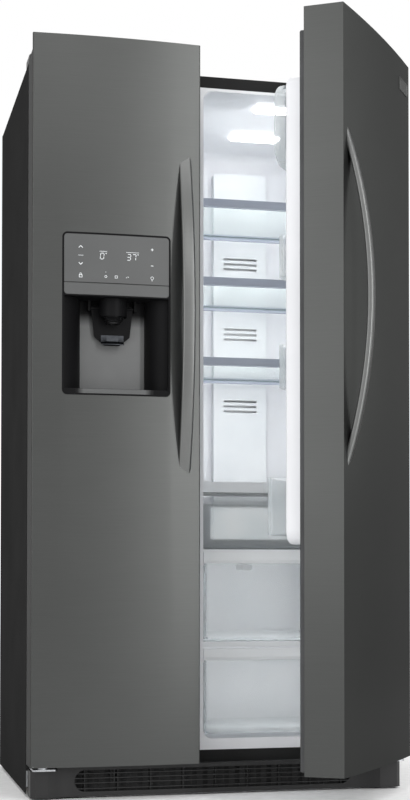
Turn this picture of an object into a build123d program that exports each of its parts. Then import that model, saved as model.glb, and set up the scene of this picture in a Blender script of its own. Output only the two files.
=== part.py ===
"""Side by side refrigerator, drawn piece by piece in millimetres.

The freezer is on the left behind a door with an ice and water dispenser, and the
fresh food compartment is on the right behind a wider door, drawn open.

Every piece of the cabinet is placed in the plane `cabinet`: x from its left side, y back from
its front rim, z up from the floor. Both doors are drawn closed in those same coordinates, and
the plane of a door carries it to its opening angle. The model's own origin is the centre of the
front left levelling foot, on the floor.
"""
from build123d import *
from math import asin, degrees, sqrt
import os

# ---------------------------------------------------------------- driving dimensions
cabinet_width = 915.0
cabinet_depth = 683.0
cabinet_top = 1735.0
shell_bottom = 8.0
sheet = 1.2
shell_corner = 4.0
foot_inset_x = 60.0
foot_inset_y = 45.0

door_bottom = 78.5
door_rise = 41.0
door_top = cabinet_top + door_rise
door_front = -105.0
door_back = -13.0
door_bow = 8.0
door_gap = 5.5
freezer_door_width = 394.5
hinge_inset = 32.2
hinge_ahead = 71.4
fridge_rest_angle = 55.15
pin_radius = 6.0
pin_clearance = 0.05

rim_drop = 28.0
rim_top = cabinet_top - rim_drop
rim_bottom = 62.0
lip_bottom = 100.0
lip_width = 10.0
opening_bottom = 126.0
opening_top = rim_top - 7.0
side_wall = 45.0
mullion_left = freezer_door_width - 23.5
mullion_right = freezer_door_width + 29.5
liner_sheet = 2.5
back_wall = 85.5
liner_depth = cabinet_depth - back_wall
liner_corner = 22.0
hump_depth = 192.5
hump_front = liner_depth - hump_depth
hump_top = 330.0
machine_depth = 243.0
machine_front = cabinet_depth - machine_depth
machine_top = 300.0
foam_bottom = rim_bottom

gasket_width = 14.0
gasket_hinge_inset = 22.0
gasket_free_inset = 4.5
gasket_air = 1.0
gasket_low = door_bottom + 8.5
gasket_high = cabinet_top - 9.0

running = 0.3

# ---------------------------------------------------------------- planes
cabinet = Plane(origin=(-foot_inset_x, -foot_inset_y, 0))
left_hinge = (hinge_inset, -hinge_ahead, 0)
right_hinge = (cabinet_width - hinge_inset, -hinge_ahead, 0)
hinge_axis = cabinet.from_local_coords(right_hinge)
swing = Location(hinge_axis) * Location((0, 0, 0), (0, 0, fridge_rest_angle)) * Location(-hinge_axis)
freezer_door = cabinet
fridge_door = Plane(swing * cabinet.location)


def level(base, height):
    """The horizontal plane of a frame at a height."""
    return base.offset(height)


def facing(base, y):
    """The upright plane at depth y that faces forwards: local x runs right, local y up."""
    return Plane(origin=base.from_local_coords((0, y, 0)), x_dir=base.x_dir, z_dir=-base.y_dir)


def sideways(base, x):
    """The upright plane at x that faces right: local x runs back, local y up."""
    return Plane(origin=base.from_local_coords((x, 0, 0)), x_dir=base.y_dir, z_dir=base.x_dir)


def block(base, x, y, z, mode=Mode.ADD):
    """A box between the pairs of coordinates x, y and z of a frame."""
    middle = base.location * Location((sum(x) / 2, sum(y) / 2, sum(z) / 2))
    with Locations(middle):
        Box(x[1] - x[0], y[1] - y[0], z[1] - z[0], mode=mode)


def rounded_block(base, x, y, z, radius, mode=Mode.ADD):
    """A box whose upright edges are rounded."""
    with BuildSketch(level(base, z[0])) as footprint:
        with Locations((sum(x) / 2, sum(y) / 2)):
            RectangleRounded(x[1] - x[0], y[1] - y[0], radius)
    extrude(to_extrude=footprint.sketch, amount=z[1] - z[0], mode=mode)


def rounded_panel(base, x, y, z, radius, mode=Mode.ADD):
    """A box whose edges along the depth are rounded, seen from the front."""
    with BuildSketch(facing(base, y[1])) as outline:
        with Locations((sum(x) / 2, sum(z) / 2)):
            RectangleRounded(x[1] - x[0], z[1] - z[0], radius)
    extrude(to_extrude=outline.sketch, amount=y[1] - y[0], mode=mode)


def rod(plane, at, radius, length, mode=Mode.ADD):
    """A round bar that leaves a plane at a local point, along the plane's normal."""
    with BuildSketch(plane) as section:
        with Locations(at):
            Circle(radius)
    extrude(to_extrude=section.sketch, amount=length, mode=mode)


def grown(pair, by):
    """A pair of coordinates, moved apart by the same amount at both ends."""
    return (pair[0] - by, pair[1] + by)


def save(builder, name):
    """Labels a finished sub-part and writes its STEP file."""
    builder.part.label = name
    export_step(builder.part, f"parts/{name}.step")


os.makedirs("parts", exist_ok=True)

# ---------------------------------------------------------------- cabinet: liners and foam
freezer_x = (side_wall, mullion_left)
fridge_x = (mullion_right, cabinet_width - side_wall)
opening_z = (opening_bottom, opening_top)


def liner_form(x, grow):
    """The solid inside of a compartment, with the step over the machine compartment.

    With grow at the liner's sheet thickness it is the liner's outside instead.
    """
    with BuildPart() as form:
        with BuildSketch(sideways(cabinet, x[0] - grow)):
            with BuildLine():
                Polyline(
                    (0, opening_z[0] - grow),
                    (hump_front + grow, opening_z[0] - grow),
                    (hump_front + grow, hump_top - grow),
                    (liner_depth + grow, hump_top - grow),
                    (liner_depth + grow, opening_z[1] + grow),
                    (0, opening_z[1] + grow),
                    close=True,
                )
            make_face()
        extrude(amount=x[1] - x[0] + 2 * grow)
        along = form.edges().filter_by(Axis.Y)
        fillet(along.group_by(Axis.Z)[0] + along.group_by(Axis.Z)[-1], liner_corner + grow)
        back = form.edges().filter_by(Axis.Z).group_by(Axis.Y)[-1]
        fillet(back, liner_corner + grow)
    return form.part


def lip(x):
    """The flat lip round a compartment's mouth."""
    outer = grown(x, lip_width)
    rounded_panel(cabinet, outer, (0, liner_sheet), (lip_bottom, rim_top), 2.0)


freezer_hollow = liner_form(freezer_x, 0)
freezer_outside = liner_form(freezer_x, liner_sheet)
fridge_hollow = liner_form(fridge_x, 0)
fridge_outside = liner_form(fridge_x, liner_sheet)

# Shelf levels in the fresh food compartment, each at the top of its front trim.
shelf_tops = [opening_top - drop for drop in (242.0, 438.0, 638.0)]
shelf_trim = 20.0
deli_top = 753.0
crisper_top = 583.0
crisper_front = 16.0
support_width = 48.0
crisper_right = fridge_x[1] - support_width
rail_reach = 8.0
rail_height = 8.0
shelf_front = 90.0
shelf_back = liner_depth - 52.5

ice_floor = 1322.0
freezer_shelf_tops = [ice_floor - drop for drop in (72.0, 312.0, 532.0)]
freezer_shelf_front = 95.0
freezer_shelf_sheet = 10.0
evaporator_front = liner_depth - 57.5
freezer_shelf_back = evaporator_front - 12.0


def wall_rails(x, heights, y):
    """Ledges moulded along both side walls, each with its top at one of the heights."""
    for height in heights:
        for side in ((x[0], x[0] + rail_reach), (x[1] - rail_reach, x[1])):
            block(cabinet, side, y, (height - rail_height, height))


deli_cover_side = 14.0
drawer_lip = 4.0
lip_sheet = 3.0
ledge_gap = 0.4
deli_z = (589.0, 716.0)
upper_crisper = (363.0, 555.0)
lower_crisper = (136.0, 320.0)
upper_crisper_back = liner_depth - 57.5
lower_crisper_back = hump_front - 12.0
deli_front = 118.0
shelf_rails = [top - shelf_trim for top in shelf_tops]
deli_rails = [deli_top - deli_cover_side, deli_z[1] - lip_sheet - ledge_gap]
crisper_ledges = (
    (upper_crisper[1] - lip_sheet - ledge_gap, upper_crisper_back - 10.0),
    (lower_crisper[1] - lip_sheet - ledge_gap, lower_crisper_back - 10.0),
)
freezer_rails = [top - freezer_shelf_sheet for top in freezer_shelf_tops]

with BuildPart() as fridge_liner:
    add(fridge_outside)
    lip(fridge_x)
    add(fridge_hollow, mode=Mode.SUBTRACT)
    wall_rails(fridge_x, shelf_rails, (shelf_front + 20.0, shelf_back))
    wall_rails(fridge_x, deli_rails, (deli_front + 14.0, shelf_back - 10.0))
    for ledge_top, ledge_back in crisper_ledges:
        block(
            cabinet,
            (fridge_x[0], fridge_x[0] + rail_reach),
            (crisper_front + 12.0, ledge_back),
            (ledge_top - rail_height, ledge_top),
        )
save(fridge_liner, "fridge_liner")

with BuildPart() as freezer_liner:
    add(freezer_outside)
    lip(freezer_x)
    add(freezer_hollow, mode=Mode.SUBTRACT)
    wall_rails(freezer_x, freezer_rails, (freezer_shelf_front + 20.0, freezer_shelf_back + 2.0))
save(freezer_liner, "freezer_liner")

with BuildPart() as foam_insulation:
    block(
        cabinet,
        (sheet, cabinet_width - sheet),
        (liner_sheet, cabinet_depth - sheet),
        (foam_bottom, cabinet_top - sheet),
    )
    add(freezer_outside, mode=Mode.SUBTRACT)
    add(fridge_outside, mode=Mode.SUBTRACT)
    block(
        cabinet,
        (0, cabinet_width),
        (machine_front, cabinet_depth),
        (0, machine_top),
        mode=Mode.SUBTRACT,
    )
    shoulders = foam_insulation.edges().filter_by(Axis.Y).group_by(Axis.Z)[-1]
    fillet(shoulders, shell_corner)
save(foam_insulation, "foam_insulation")

# ---------------------------------------------------------------- cabinet: steel
side_flange = side_wall - lip_width

with BuildPart() as cabinet_shell:
    with BuildSketch(facing(cabinet, cabinet_depth)):
        with BuildLine():
            wrap = FilletPolyline(
                (sheet / 2, shell_bottom),
                (sheet / 2, cabinet_top - sheet / 2),
                (cabinet_width - sheet / 2, cabinet_top - sheet / 2),
                (cabinet_width - sheet / 2, shell_bottom),
                radius=shell_corner + sheet / 2,
            )
        trace(wrap, line_width=sheet)
    extrude(amount=cabinet_depth)
    block(cabinet, (sheet, cabinet_width - sheet), (0, sheet), (rim_top, cabinet_top - sheet))
    block(cabinet, (sheet, side_flange), (0, sheet), (rim_bottom, rim_top))
    block(cabinet, (cabinet_width - side_flange, cabinet_width - sheet), (0, sheet), (rim_bottom, rim_top))
    block(cabinet, (side_flange, cabinet_width - side_flange), (0, sheet), (rim_bottom, lip_bottom))
save(cabinet_shell, "cabinet_shell")

with BuildPart() as mullion_strip:
    block(
        cabinet,
        (mullion_left + lip_width, mullion_right - lip_width),
        (0, liner_sheet),
        (lip_bottom, rim_top),
    )
save(mullion_strip, "mullion_strip")

rear_ribs = 5
rib_inset = 100.0
rib_half = 12.0
with BuildPart() as rear_panel:
    block(
        cabinet,
        (0, cabinet_width),
        (cabinet_depth, cabinet_depth + sheet),
        (machine_top, cabinet_top),
    )
    rib_pitch = (cabinet_width - 2 * rib_inset) / (rear_ribs - 1)
    for rib in range(rear_ribs):
        middle = rib_inset + rib * rib_pitch
        rounded_panel(
            cabinet,
            (middle - rib_half, middle + rib_half),
            (cabinet_depth + sheet, cabinet_depth + sheet + 3),
            (machine_top + 70, cabinet_top - 80),
            11.0,
        )
save(rear_panel, "rear_panel")

# ---------------------------------------------------------------- base, feet and rollers
pan_floor = 24.0
pan_sheet = 2.0
cross_top = foam_bottom
foot_height = 9.0
foot_radius = 17.0
stem_radius = 6.0
roller_radius = 18.0
roller_width = 22.0
roller_y = cabinet_depth - 55.0
roller_xs = (52.0, cabinet_width - 52.0)
axle_radius = 4.0
foot_xs = (foot_inset_x, cabinet_width - foot_inset_x)
ear_gap = 1.0
ear_sheet = 3.0
axle_proud = 2.0
channel_wall = 3.0
channel_back = foot_inset_y + 24.0
channel_end = 40.0
foot_boss = 16.0
side_rail = 22.0
frame_back = cabinet_depth - 8.0

with BuildPart() as base_frame:
    block(cabinet, (sheet, cabinet_width - sheet), (0, channel_back), (pan_floor, cross_top))
    block(
        cabinet,
        (channel_end, cabinet_width - channel_end),
        (channel_wall, channel_back - channel_wall),
        (pan_floor - 1, cross_top - channel_wall),
        mode=Mode.SUBTRACT,
    )
    for foot_x in foot_xs:
        foot_at = (foot_x, foot_inset_y)
        rod(level(cabinet, pan_floor), foot_at, foot_boss, cross_top - pan_floor)
        rod(level(cabinet, 0), foot_at, stem_radius + pin_clearance, cross_top, mode=Mode.SUBTRACT)
    for outside, inside in ((sheet, side_rail), (cabinet_width - sheet, cabinet_width - side_rail)):
        inwards = pan_sheet if inside > outside else -pan_sheet
        flange = sorted((outside, inside))
        web = sorted((outside, outside + inwards))
        block(cabinet, flange, (channel_back, frame_back), (pan_floor, pan_floor + pan_sheet))
        block(cabinet, web, (channel_back, frame_back), (pan_floor, cross_top))
    tray = (side_rail, cabinet_width - side_rail)
    block(cabinet, tray, (machine_front, frame_back), (pan_floor, pan_floor + pan_sheet))
    block(cabinet, tray, (machine_front, machine_front + pan_sheet), (pan_floor, cross_top))
    for roller_x in roller_xs:
        slot = grown((roller_x, roller_x), roller_width / 2 + ear_gap)
        slot_y = grown((roller_y, roller_y), roller_radius + 5)
        block(cabinet, slot, slot_y, (pan_floor - 1, pan_floor + pan_sheet + 1), mode=Mode.SUBTRACT)
        for ear in ((slot[0] - ear_sheet, slot[0]), (slot[1], slot[1] + ear_sheet)):
            block(cabinet, ear, grown((roller_y, roller_y), 16), (roller_radius - 8, pan_floor + 14))
        axle = grown(slot, ear_sheet + axle_proud)
        rod(sideways(cabinet, axle[0]), (roller_y, roller_radius), axle_radius, axle[1] - axle[0])
save(base_frame, "base_frame")

with BuildPart() as levelling_legs:
    for foot_x in foot_xs:
        rod(level(cabinet, 0), (foot_x, foot_inset_y), foot_radius, foot_height)
        rod(level(cabinet, foot_height), (foot_x, foot_inset_y), stem_radius, cross_top - foot_height - 4)
    rims = levelling_legs.edges().filter_by(GeomType.CIRCLE).group_by(Axis.Z)[0]
    chamfer(rims, 1.5)
save(levelling_legs, "levelling_legs")

for side, roller_x in zip(("left", "right"), roller_xs):
    with BuildPart() as rear_roller:
        end = sideways(cabinet, roller_x - roller_width / 2)
        rod(end, (roller_y, roller_radius), roller_radius, roller_width)
        rod(
            sideways(cabinet, roller_x - roller_width / 2),
            (roller_y, roller_radius),
            axle_radius + pin_clearance,
            roller_width,
            mode=Mode.SUBTRACT,
        )
    save(rear_roller, f"rear_roller_{side}")

# ---------------------------------------------------------------- hinges
arm_sheet = 4.0
arm_low = cabinet_top + 8.0
arm_half = 9.0
leaf_out = 20.0
leaf_in = 38.0
leaf_front = 12.0
leaf_back = 70.0
cover_reach = 84.0
cover_height = 23.0
cover_sheet_top = 2.5
notch_floor = cabinet_top + 3.0
notch_front = -96.0
notch_width = 88.0
pin_depth = 24.0
bracket_top = door_bottom - 6.5
bracket_sheet = 4.0
bottom_pin_top = door_bottom + 24.0
hinge_sides = ((hinge_inset, 1), (cabinet_width - hinge_inset, -1))

with BuildPart() as top_hinges:
    for hinge_x, inwards in hinge_sides:
        with BuildSketch(level(cabinet, arm_low)) as leaf:
            with BuildLine():
                Polyline(
                    (hinge_x - inwards * arm_half, -hinge_ahead),
                    (hinge_x - inwards * arm_half, -20),
                    (hinge_x - inwards * leaf_out, leaf_front),
                    (hinge_x - inwards * leaf_out, leaf_back),
                    (hinge_x + inwards * leaf_in, leaf_back),
                    (hinge_x + inwards * leaf_in, leaf_front),
                    (hinge_x + inwards * arm_half, -20),
                    (hinge_x + inwards * arm_half, -hinge_ahead),
                    close=True,
                )
            make_face()
            with Locations((hinge_x, -hinge_ahead)):
                Circle(arm_half)
        extrude(amount=arm_sheet)
        rod(level(cabinet, arm_low - pin_depth), (hinge_x, -hinge_ahead), pin_radius, pin_depth + arm_sheet)
        foot = sorted((hinge_x - inwards * leaf_out, hinge_x + inwards * leaf_in))
        block(cabinet, foot, (leaf_front, leaf_back), (cabinet_top, arm_low))
save(top_hinges, "top_hinges")

with BuildPart() as bottom_hinges:
    for hinge_x, inwards in hinge_sides:
        span = sorted((hinge_x - inwards * 24, hinge_x + inwards * 30))
        rounded_block(cabinet, span, (-hinge_ahead - 13, 0), (bracket_top - bracket_sheet, bracket_top), 6.0)
        upright = sorted((hinge_x - inwards * 16, hinge_x + inwards * 30))
        block(cabinet, upright, (-bracket_sheet, 0), (foam_bottom - 26, bracket_top))
        rod(level(cabinet, bracket_top), (hinge_x, -hinge_ahead), 11, 4.0)
        rod(level(cabinet, bracket_top), (hinge_x, -hinge_ahead), pin_radius, bottom_pin_top - bracket_top)
save(bottom_hinges, "bottom_hinges")

with BuildPart() as hinge_covers:
    for hinge_x, inwards in hinge_sides:
        span = sorted((hinge_x - inwards * (leaf_out + 9), hinge_x + inwards * (leaf_in + 9)))
        depth = (-3, cover_reach)
        rise = (cabinet_top, cabinet_top + cover_height)
        rounded_block(cabinet, span, depth, rise, 10.0)
        inner = (grown(span, -cover_sheet_top), grown(depth, -cover_sheet_top))
        block(cabinet, *inner, (rise[0], rise[1] - cover_sheet_top), mode=Mode.SUBTRACT)
        slot = sorted((hinge_x - inwards * leaf_out, hinge_x + inwards * (leaf_in - 4)))
        block(cabinet, slot, (-4, 4), (arm_low - 1, arm_low + arm_sheet + 1), mode=Mode.SUBTRACT)
    crown = hinge_covers.edges().group_by(Axis.Z)[-1]
    chamfer(crown, 2.0)
save(hinge_covers, "hinge_covers")

# ---------------------------------------------------------------- doors: shared construction
skin = 1.2
skin_return = 9.0
cap_sheet = 3.0
cap_drop = 2.0
hinge_box_width = 96.0
hinge_box_floor = cabinet_top - 23.0
hinge_box_low = door_bottom + 30.0
foam_back = door_back - liner_sheet
handle_edge_distance = 37.0

freezer_span = (0.0, freezer_door_width)
fridge_span = (freezer_door_width + door_gap, cabinet_width)


def door_form(base, span, inset, back, z):
    """The solid form of a door: straight sides and a bowed front, moved in by inset."""
    with BuildPart() as form:
        with BuildSketch(level(base, z[0])):
            with BuildLine():
                left, right = span[0] + inset, span[1] - inset
                front = door_front + inset
                Polyline((left, front), (left, back), (right, back), (right, front))
                ThreePointArc((right, front), ((left + right) / 2, front - door_bow), (left, front))
            make_face()
            if inset == 0:
                fillet(vertices().group_by(Axis((0, 0, 0), base.y_dir))[0], 3.0)
        extrude(amount=z[1] - z[0])
    return form.part


def hinge_corner(span, hinge_left, width):
    """The stretch of a door's width next to its hinge side."""
    return (span[0], span[0] + width) if hinge_left else (span[1] - width, span[1])


def door_skin(base, span, hinge_left):
    """The painted steel wrap: bowed front, both sides and narrow returns at the back."""
    with BuildPart() as wrap:
        add(door_form(base, span, 0, door_back, (door_bottom, door_top)))
        add(door_form(base, span, skin, door_back + 1, (door_bottom - 1, door_top + 1)), mode=Mode.SUBTRACT)
        block(base, (span[0], span[0] + skin_return), (door_back - skin, door_back), (door_bottom, door_top))
        block(base, (span[1] - skin_return, span[1]), (door_back - skin, door_back), (door_bottom, door_top))
        block(
            base,
            grown(hinge_corner(span, hinge_left, notch_width), 1),
            (notch_front, door_back + 1),
            (notch_floor, door_top + 1),
            mode=Mode.SUBTRACT,
        )
    return wrap


def door_caps(base, span, hinge_left):
    """The moulded end caps inside the skin, with the hinge notch and both hinge bushes."""
    hinge_x = span[0] + hinge_inset if hinge_left else span[1] - hinge_inset
    back = door_back - skin
    with BuildPart() as caps:
        add(door_form(base, span, skin, back, (door_top - cap_drop - cap_sheet, door_top - cap_drop)))
        add(door_form(base, span, skin, back, (door_bottom + cap_drop, door_bottom + cap_drop + cap_sheet)))
        corner = hinge_corner(span, hinge_left, hinge_box_width)
        inner = (corner[0] + skin, corner[1]) if hinge_left else (corner[0], corner[1] - skin)
        block(base, inner, (door_front + skin, foam_back), (hinge_box_floor, door_top - cap_drop))
        block(base, inner, (door_front + skin, foam_back), (door_bottom + cap_drop, hinge_box_low))
        block(
            base,
            grown(hinge_corner(span, hinge_left, notch_width), 1),
            (notch_front, door_back + 1),
            (notch_floor, door_top + 1),
            mode=Mode.SUBTRACT,
        )
        bush = pin_radius + pin_clearance
        for low, high in ((hinge_box_floor, notch_floor), (door_bottom, hinge_box_low)):
            rod(level(base, low - 1), (hinge_x, -hinge_ahead), bush, high - low + 2, mode=Mode.SUBTRACT)
    return caps


def door_foam(base, span, hinge_left):
    """The foam that fills the skin between the caps and the liner."""
    low = door_bottom + cap_drop + cap_sheet
    high = door_top - cap_drop - cap_sheet
    with BuildPart() as foam:
        add(door_form(base, span, skin, foam_back, (low, high)))
        corner = grown(hinge_corner(span, hinge_left, hinge_box_width), 1)
        corner = (corner[0], corner[1] - 1) if hinge_left else (corner[0] + 1, corner[1])
        for ends in ((hinge_box_floor, door_top), (door_bottom, hinge_box_low)):
            block(base, corner, (door_front - door_bow, door_back), ends, mode=Mode.SUBTRACT)
    return foam


dyke_wall = 2.5
dyke_thick = 19.0
dyke_back = 46.0
dyke_outer = 30.0
dyke_corner = 3.0


def door_liner(base, span, dyke_x, dyke_z):
    """The formed inner sheet: a flat flange with a raised dyke round the bins."""
    sheet_x = grown(span, -skin_return - 1)
    sheet_z = (door_bottom + 12, door_top - 70)
    with BuildPart() as liner:
        rounded_panel(base, sheet_x, (foam_back, door_back), sheet_z, 6.0)
        rounded_panel(base, dyke_x, (door_back, dyke_back), dyke_z, dyke_outer)
        inside = (grown(dyke_x, -dyke_thick), grown(dyke_z, -dyke_thick))
        rounded_panel(base, inside[0], (door_back, dyke_back + 1), inside[1], dyke_corner, mode=Mode.SUBTRACT)
        crest = liner.faces().sort_by(Axis((0, 0, 0), base.y_dir))[-1].edges()
        fillet(crest, 6.0)
        hollow_y = (foam_back - 1, dyke_back - dyke_wall)
        hollow = (grown(dyke_x, -dyke_wall), hollow_y, grown(dyke_z, -dyke_wall))
        rounded_panel(base, *hollow, dyke_outer - dyke_wall, mode=Mode.SUBTRACT)
        bank = (grown(inside[0], dyke_wall), (foam_back, dyke_back), grown(inside[1], dyke_wall))
        rounded_panel(base, *bank, dyke_corner + dyke_wall)
        rounded_panel(base, inside[0], (door_back, dyke_back + 1), inside[1], dyke_corner, mode=Mode.SUBTRACT)
    return liner


def door_gasket(base, x, z):
    """The magnetic gasket: a soft ring with bevelled lips, just clear of the cabinet's rim."""
    with BuildPart() as gasket:
        rounded_panel(base, x, (door_back, -gasket_air), z, 5.0)
        inner = (grown(x, -gasket_width), (door_back, 0), grown(z, -gasket_width))
        rounded_panel(base, *inner, 3.0, mode=Mode.SUBTRACT)
        lips = gasket.faces().sort_by(Axis((0, 0, 0), base.y_dir))[-1].edges()
        chamfer(lips, 2.5)
    return gasket


handle_low = 763.0
handle_high = 1502.0
handle_width = 30.0
handle_thick = 15.0
handle_bow = 58.0
handle_run_in = 30.0
handle_bevel = 3.5
handle_seat = 0.06
door_thick = door_back - door_front


def door_handle(base, span, centre_x, tilt):
    """The bowed bar: one arc in side view, cut off where it runs into the door's face."""
    middle = (handle_low + handle_high) / 2
    half = (span[1] - span[0]) / 2
    bow_radius = (half**2 + door_bow**2) / (2 * door_bow)
    offset = centre_x - sum(span) / 2
    face = door_front - door_bow + bow_radius - sqrt(bow_radius**2 - offset**2)
    seat = Location((centre_x, face - handle_seat, middle), (0, 0, degrees(asin(offset / bow_radius))))
    half_length = (handle_high - handle_low) / 2
    outer_radius = (half_length**2 + handle_bow**2) / (2 * handle_bow)
    reach = half_length + handle_run_in
    crest_y = face - handle_bow + handle_thick / 2
    bar_radius = outer_radius - handle_thick / 2
    end_y = crest_y + bar_radius - sqrt(bar_radius**2 - reach**2)
    path_plane = sideways(base, centre_x)
    with BuildPart() as handle:
        with BuildLine(path_plane) as path:
            arc = ThreePointArc((end_y, middle - reach), (crest_y, middle), (end_y, middle + reach))
        start = Plane(origin=arc @ 0, x_dir=base.x_dir, z_dir=arc % 0)
        with BuildSketch(start):
            with Locations(Location((0, 0, 0), (0, 0, tilt))):
                Rectangle(handle_width, handle_thick)
            chamfer(vertices(), handle_bevel)
        turn = Axis(arc.arc_center, -base.x_dir)
        revolve(axis=turn, revolution_arc=(arc % 0).get_angle(arc % 1))
        with Locations(base.location * seat * Location((0, door_thick / 2, 0))):
            Box(4 * handle_width, door_thick, 2 * handle_high, mode=Mode.SUBTRACT)
    return handle


# ---------------------------------------------------------------- dispenser sizes
dispenser_x = (68.5, 322.5)
dispenser_z = (937.0, 1315.0)
bezel_width = 4.0
bezel_proud = 0.8
cavity_top = 1167.0
cavity_floor = 952.0
cavity_back = -32.0
cavity_corner = 62.0
housing_back = -28.0
flat_back_x = (118.0, 273.0)
panel_split = 1198.0
chute_x = 194.0
chute_y = -64.0
chute_radius = 32.0
chute_wall = 2.5
chute_mouth = 1126.0
throat_radius = 27.0
throat_low = 1222.0
paddle_axis_y = -44.0
paddle_axis_z = 1150.0
paddle_foot = 1062.0
paddle_pin = 2.5

dispenser_middle = sum(dispenser_x) / 2
throat_plane = Plane(
    origin=cabinet.from_local_coords((chute_x, chute_y, throat_low)),
    x_dir=(1, 0, 0),
    z_dir=(0, 1, 1),
)

# ---------------------------------------------------------------- freezer door
dyke_inset = 17.0
dyke_top = opening_top - 60.0
freezer_dyke_x = (freezer_x[0] + dyke_inset, freezer_x[1] - 14.0)
freezer_dyke_z = (opening_bottom + 24.0, dyke_top)
freezer_gasket_x = (gasket_hinge_inset, freezer_span[1] - gasket_free_inset)
gasket_z = (gasket_low, gasket_high)
seat_x = grown(dispenser_x, -bezel_width / 2)
seat_z = grown(dispenser_z, -bezel_width / 2)


def dispenser_seat(radius):
    """Cuts the dispenser's window through what lies in front of the housing's back."""
    ahead = (door_front - door_bow - 5, housing_back)
    rounded_panel(freezer_door, seat_x, ahead, seat_z, radius, mode=Mode.SUBTRACT)


def throat_hole():
    """Cuts the slanted way of the ice chute."""
    rod(throat_plane, (0, 0), throat_radius + running, 120, mode=Mode.SUBTRACT)


with BuildPart() as freezer_door_skin:
    add(door_skin(freezer_door, freezer_span, True).part)
    dispenser_seat(10.0)
save(freezer_door_skin, "freezer_door_skin")

freezer_door_caps = door_caps(freezer_door, freezer_span, True)
save(freezer_door_caps, "freezer_door_caps")

with BuildPart() as freezer_door_foam:
    add(door_foam(freezer_door, freezer_span, True).part)
    dispenser_seat(10.0)
    throat_hole()
save(freezer_door_foam, "freezer_door_foam")

with BuildPart() as freezer_door_liner:
    add(door_liner(freezer_door, freezer_span, freezer_dyke_x, freezer_dyke_z).part)
    throat_hole()
save(freezer_door_liner, "freezer_door_liner")

freezer_gasket = door_gasket(freezer_door, freezer_gasket_x, gasket_z)
save(freezer_gasket, "freezer_gasket")

freezer_handle = door_handle(freezer_door, freezer_span, freezer_span[1] - handle_edge_distance, -8)
save(freezer_handle, "freezer_handle")

with BuildPart() as dispenser_housing:
    rounded_panel(freezer_door, seat_x, (door_front - door_bow - 3, housing_back), seat_z, 10.0)
    rounded_panel(freezer_door, dispenser_x, (door_front - door_bow - 3, door_front + 2), dispenser_z, 12.0)
    trimmed = door_form(freezer_door, freezer_span, -bezel_proud, door_back, (door_bottom, door_top))
    add(trimmed, mode=Mode.INTERSECT)
    with BuildPart(mode=Mode.PRIVATE) as under_flange:
        add(door_form(freezer_door, freezer_span, 0, door_back, (door_bottom, door_top)))
        ahead = (door_front - door_bow - 5, door_back)
        rounded_panel(freezer_door, seat_x, ahead, seat_z, 10.0, mode=Mode.SUBTRACT)
    add(under_flange.part, mode=Mode.SUBTRACT)
    with BuildSketch(level(freezer_door, cavity_floor)):
        with BuildLine():
            mouth = grown(dispenser_x, -bezel_width - 1)
            front = door_front - door_bow - 6
            Line((mouth[0], front), (mouth[1], front))
            Line((mouth[1], front), (mouth[1], door_front + 6))
            RadiusArc((mouth[1], door_front + 6), (flat_back_x[1], cavity_back), cavity_corner)
            Line((flat_back_x[1], cavity_back), (flat_back_x[0], cavity_back))
            RadiusArc((flat_back_x[0], cavity_back), (mouth[0], door_front + 6), cavity_corner)
            Line((mouth[0], door_front + 6), (mouth[0], front))
        make_face()
    extrude(amount=cavity_top - cavity_floor, mode=Mode.SUBTRACT)
    rounded_panel(
        freezer_door,
        grown(dispenser_x, -bezel_width),
        (door_front - door_bow - 6, cavity_back + 1),
        (cavity_top + 3, dispenser_z[1] - bezel_width),
        8.0,
        mode=Mode.SUBTRACT,
    )
    roof_hole = level(freezer_door, cavity_top - 1)
    rod(roof_hole, (chute_x, chute_y), chute_radius + running, 6, mode=Mode.SUBTRACT)
    throat_hole()
    with Locations(level(freezer_door, cavity_floor).location * Location((dispenser_middle, -72, 0))):
        with GridLocations(15, 1, 11, 1):
            Box(5, 46, 6, mode=Mode.SUBTRACT)
    for ear in ((chute_x - 58, chute_x - 52), (chute_x + 52, chute_x + 58)):
        ear_y = grown((paddle_axis_y, paddle_axis_y), 7)
        block(freezer_door, ear, ear_y, (paddle_axis_z - 7, cavity_top + 1))
        rod(
            sideways(freezer_door, ear[0]),
            (paddle_axis_y, paddle_axis_z),
            paddle_pin + pin_clearance,
            ear[1] - ear[0],
            mode=Mode.SUBTRACT,
        )
save(dispenser_housing, "dispenser_housing")

with BuildPart() as dispenser_panel:
    rounded_panel(
        freezer_door,
        grown(dispenser_x, -bezel_width - running),
        (door_front - door_bow - 3, door_front + 6),
        (cavity_top + 3 + running, dispenser_z[1] - bezel_width - running),
        7.5,
    )
    trimmed = door_form(freezer_door, freezer_span, -bezel_proud / 2, door_back, (door_bottom, door_top))
    add(trimmed, mode=Mode.INTERSECT)
    block(
        freezer_door,
        dispenser_x,
        (door_front - door_bow - 3, door_front - 1.5),
        (panel_split - 1, panel_split + 1),
        mode=Mode.SUBTRACT,
    )
save(dispenser_panel, "dispenser_panel")

with BuildPart() as dispenser_chute:
    rod(level(freezer_door, chute_mouth), (chute_x, chute_y), chute_radius, throat_low + 14 - chute_mouth)
    rod(throat_plane, (0, 0), throat_radius, 100)
    drop = throat_low + 10 - chute_mouth
    bore = chute_radius - chute_wall
    rod(level(freezer_door, chute_mouth - 1), (chute_x, chute_y), bore, drop, mode=Mode.SUBTRACT)
    rod(throat_plane, (0, 0), throat_radius - chute_wall, 101, mode=Mode.SUBTRACT)
    block(
        freezer_door,
        grown((chute_x, chute_x), chute_radius + 1),
        (paddle_axis_y - 8, 0),
        (chute_mouth - 1, cavity_top - 6),
        mode=Mode.SUBTRACT,
    )
    block(freezer_door, freezer_span, (door_back, 120), (chute_mouth, ice_floor), mode=Mode.SUBTRACT)
save(dispenser_chute, "dispenser_chute")

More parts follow.
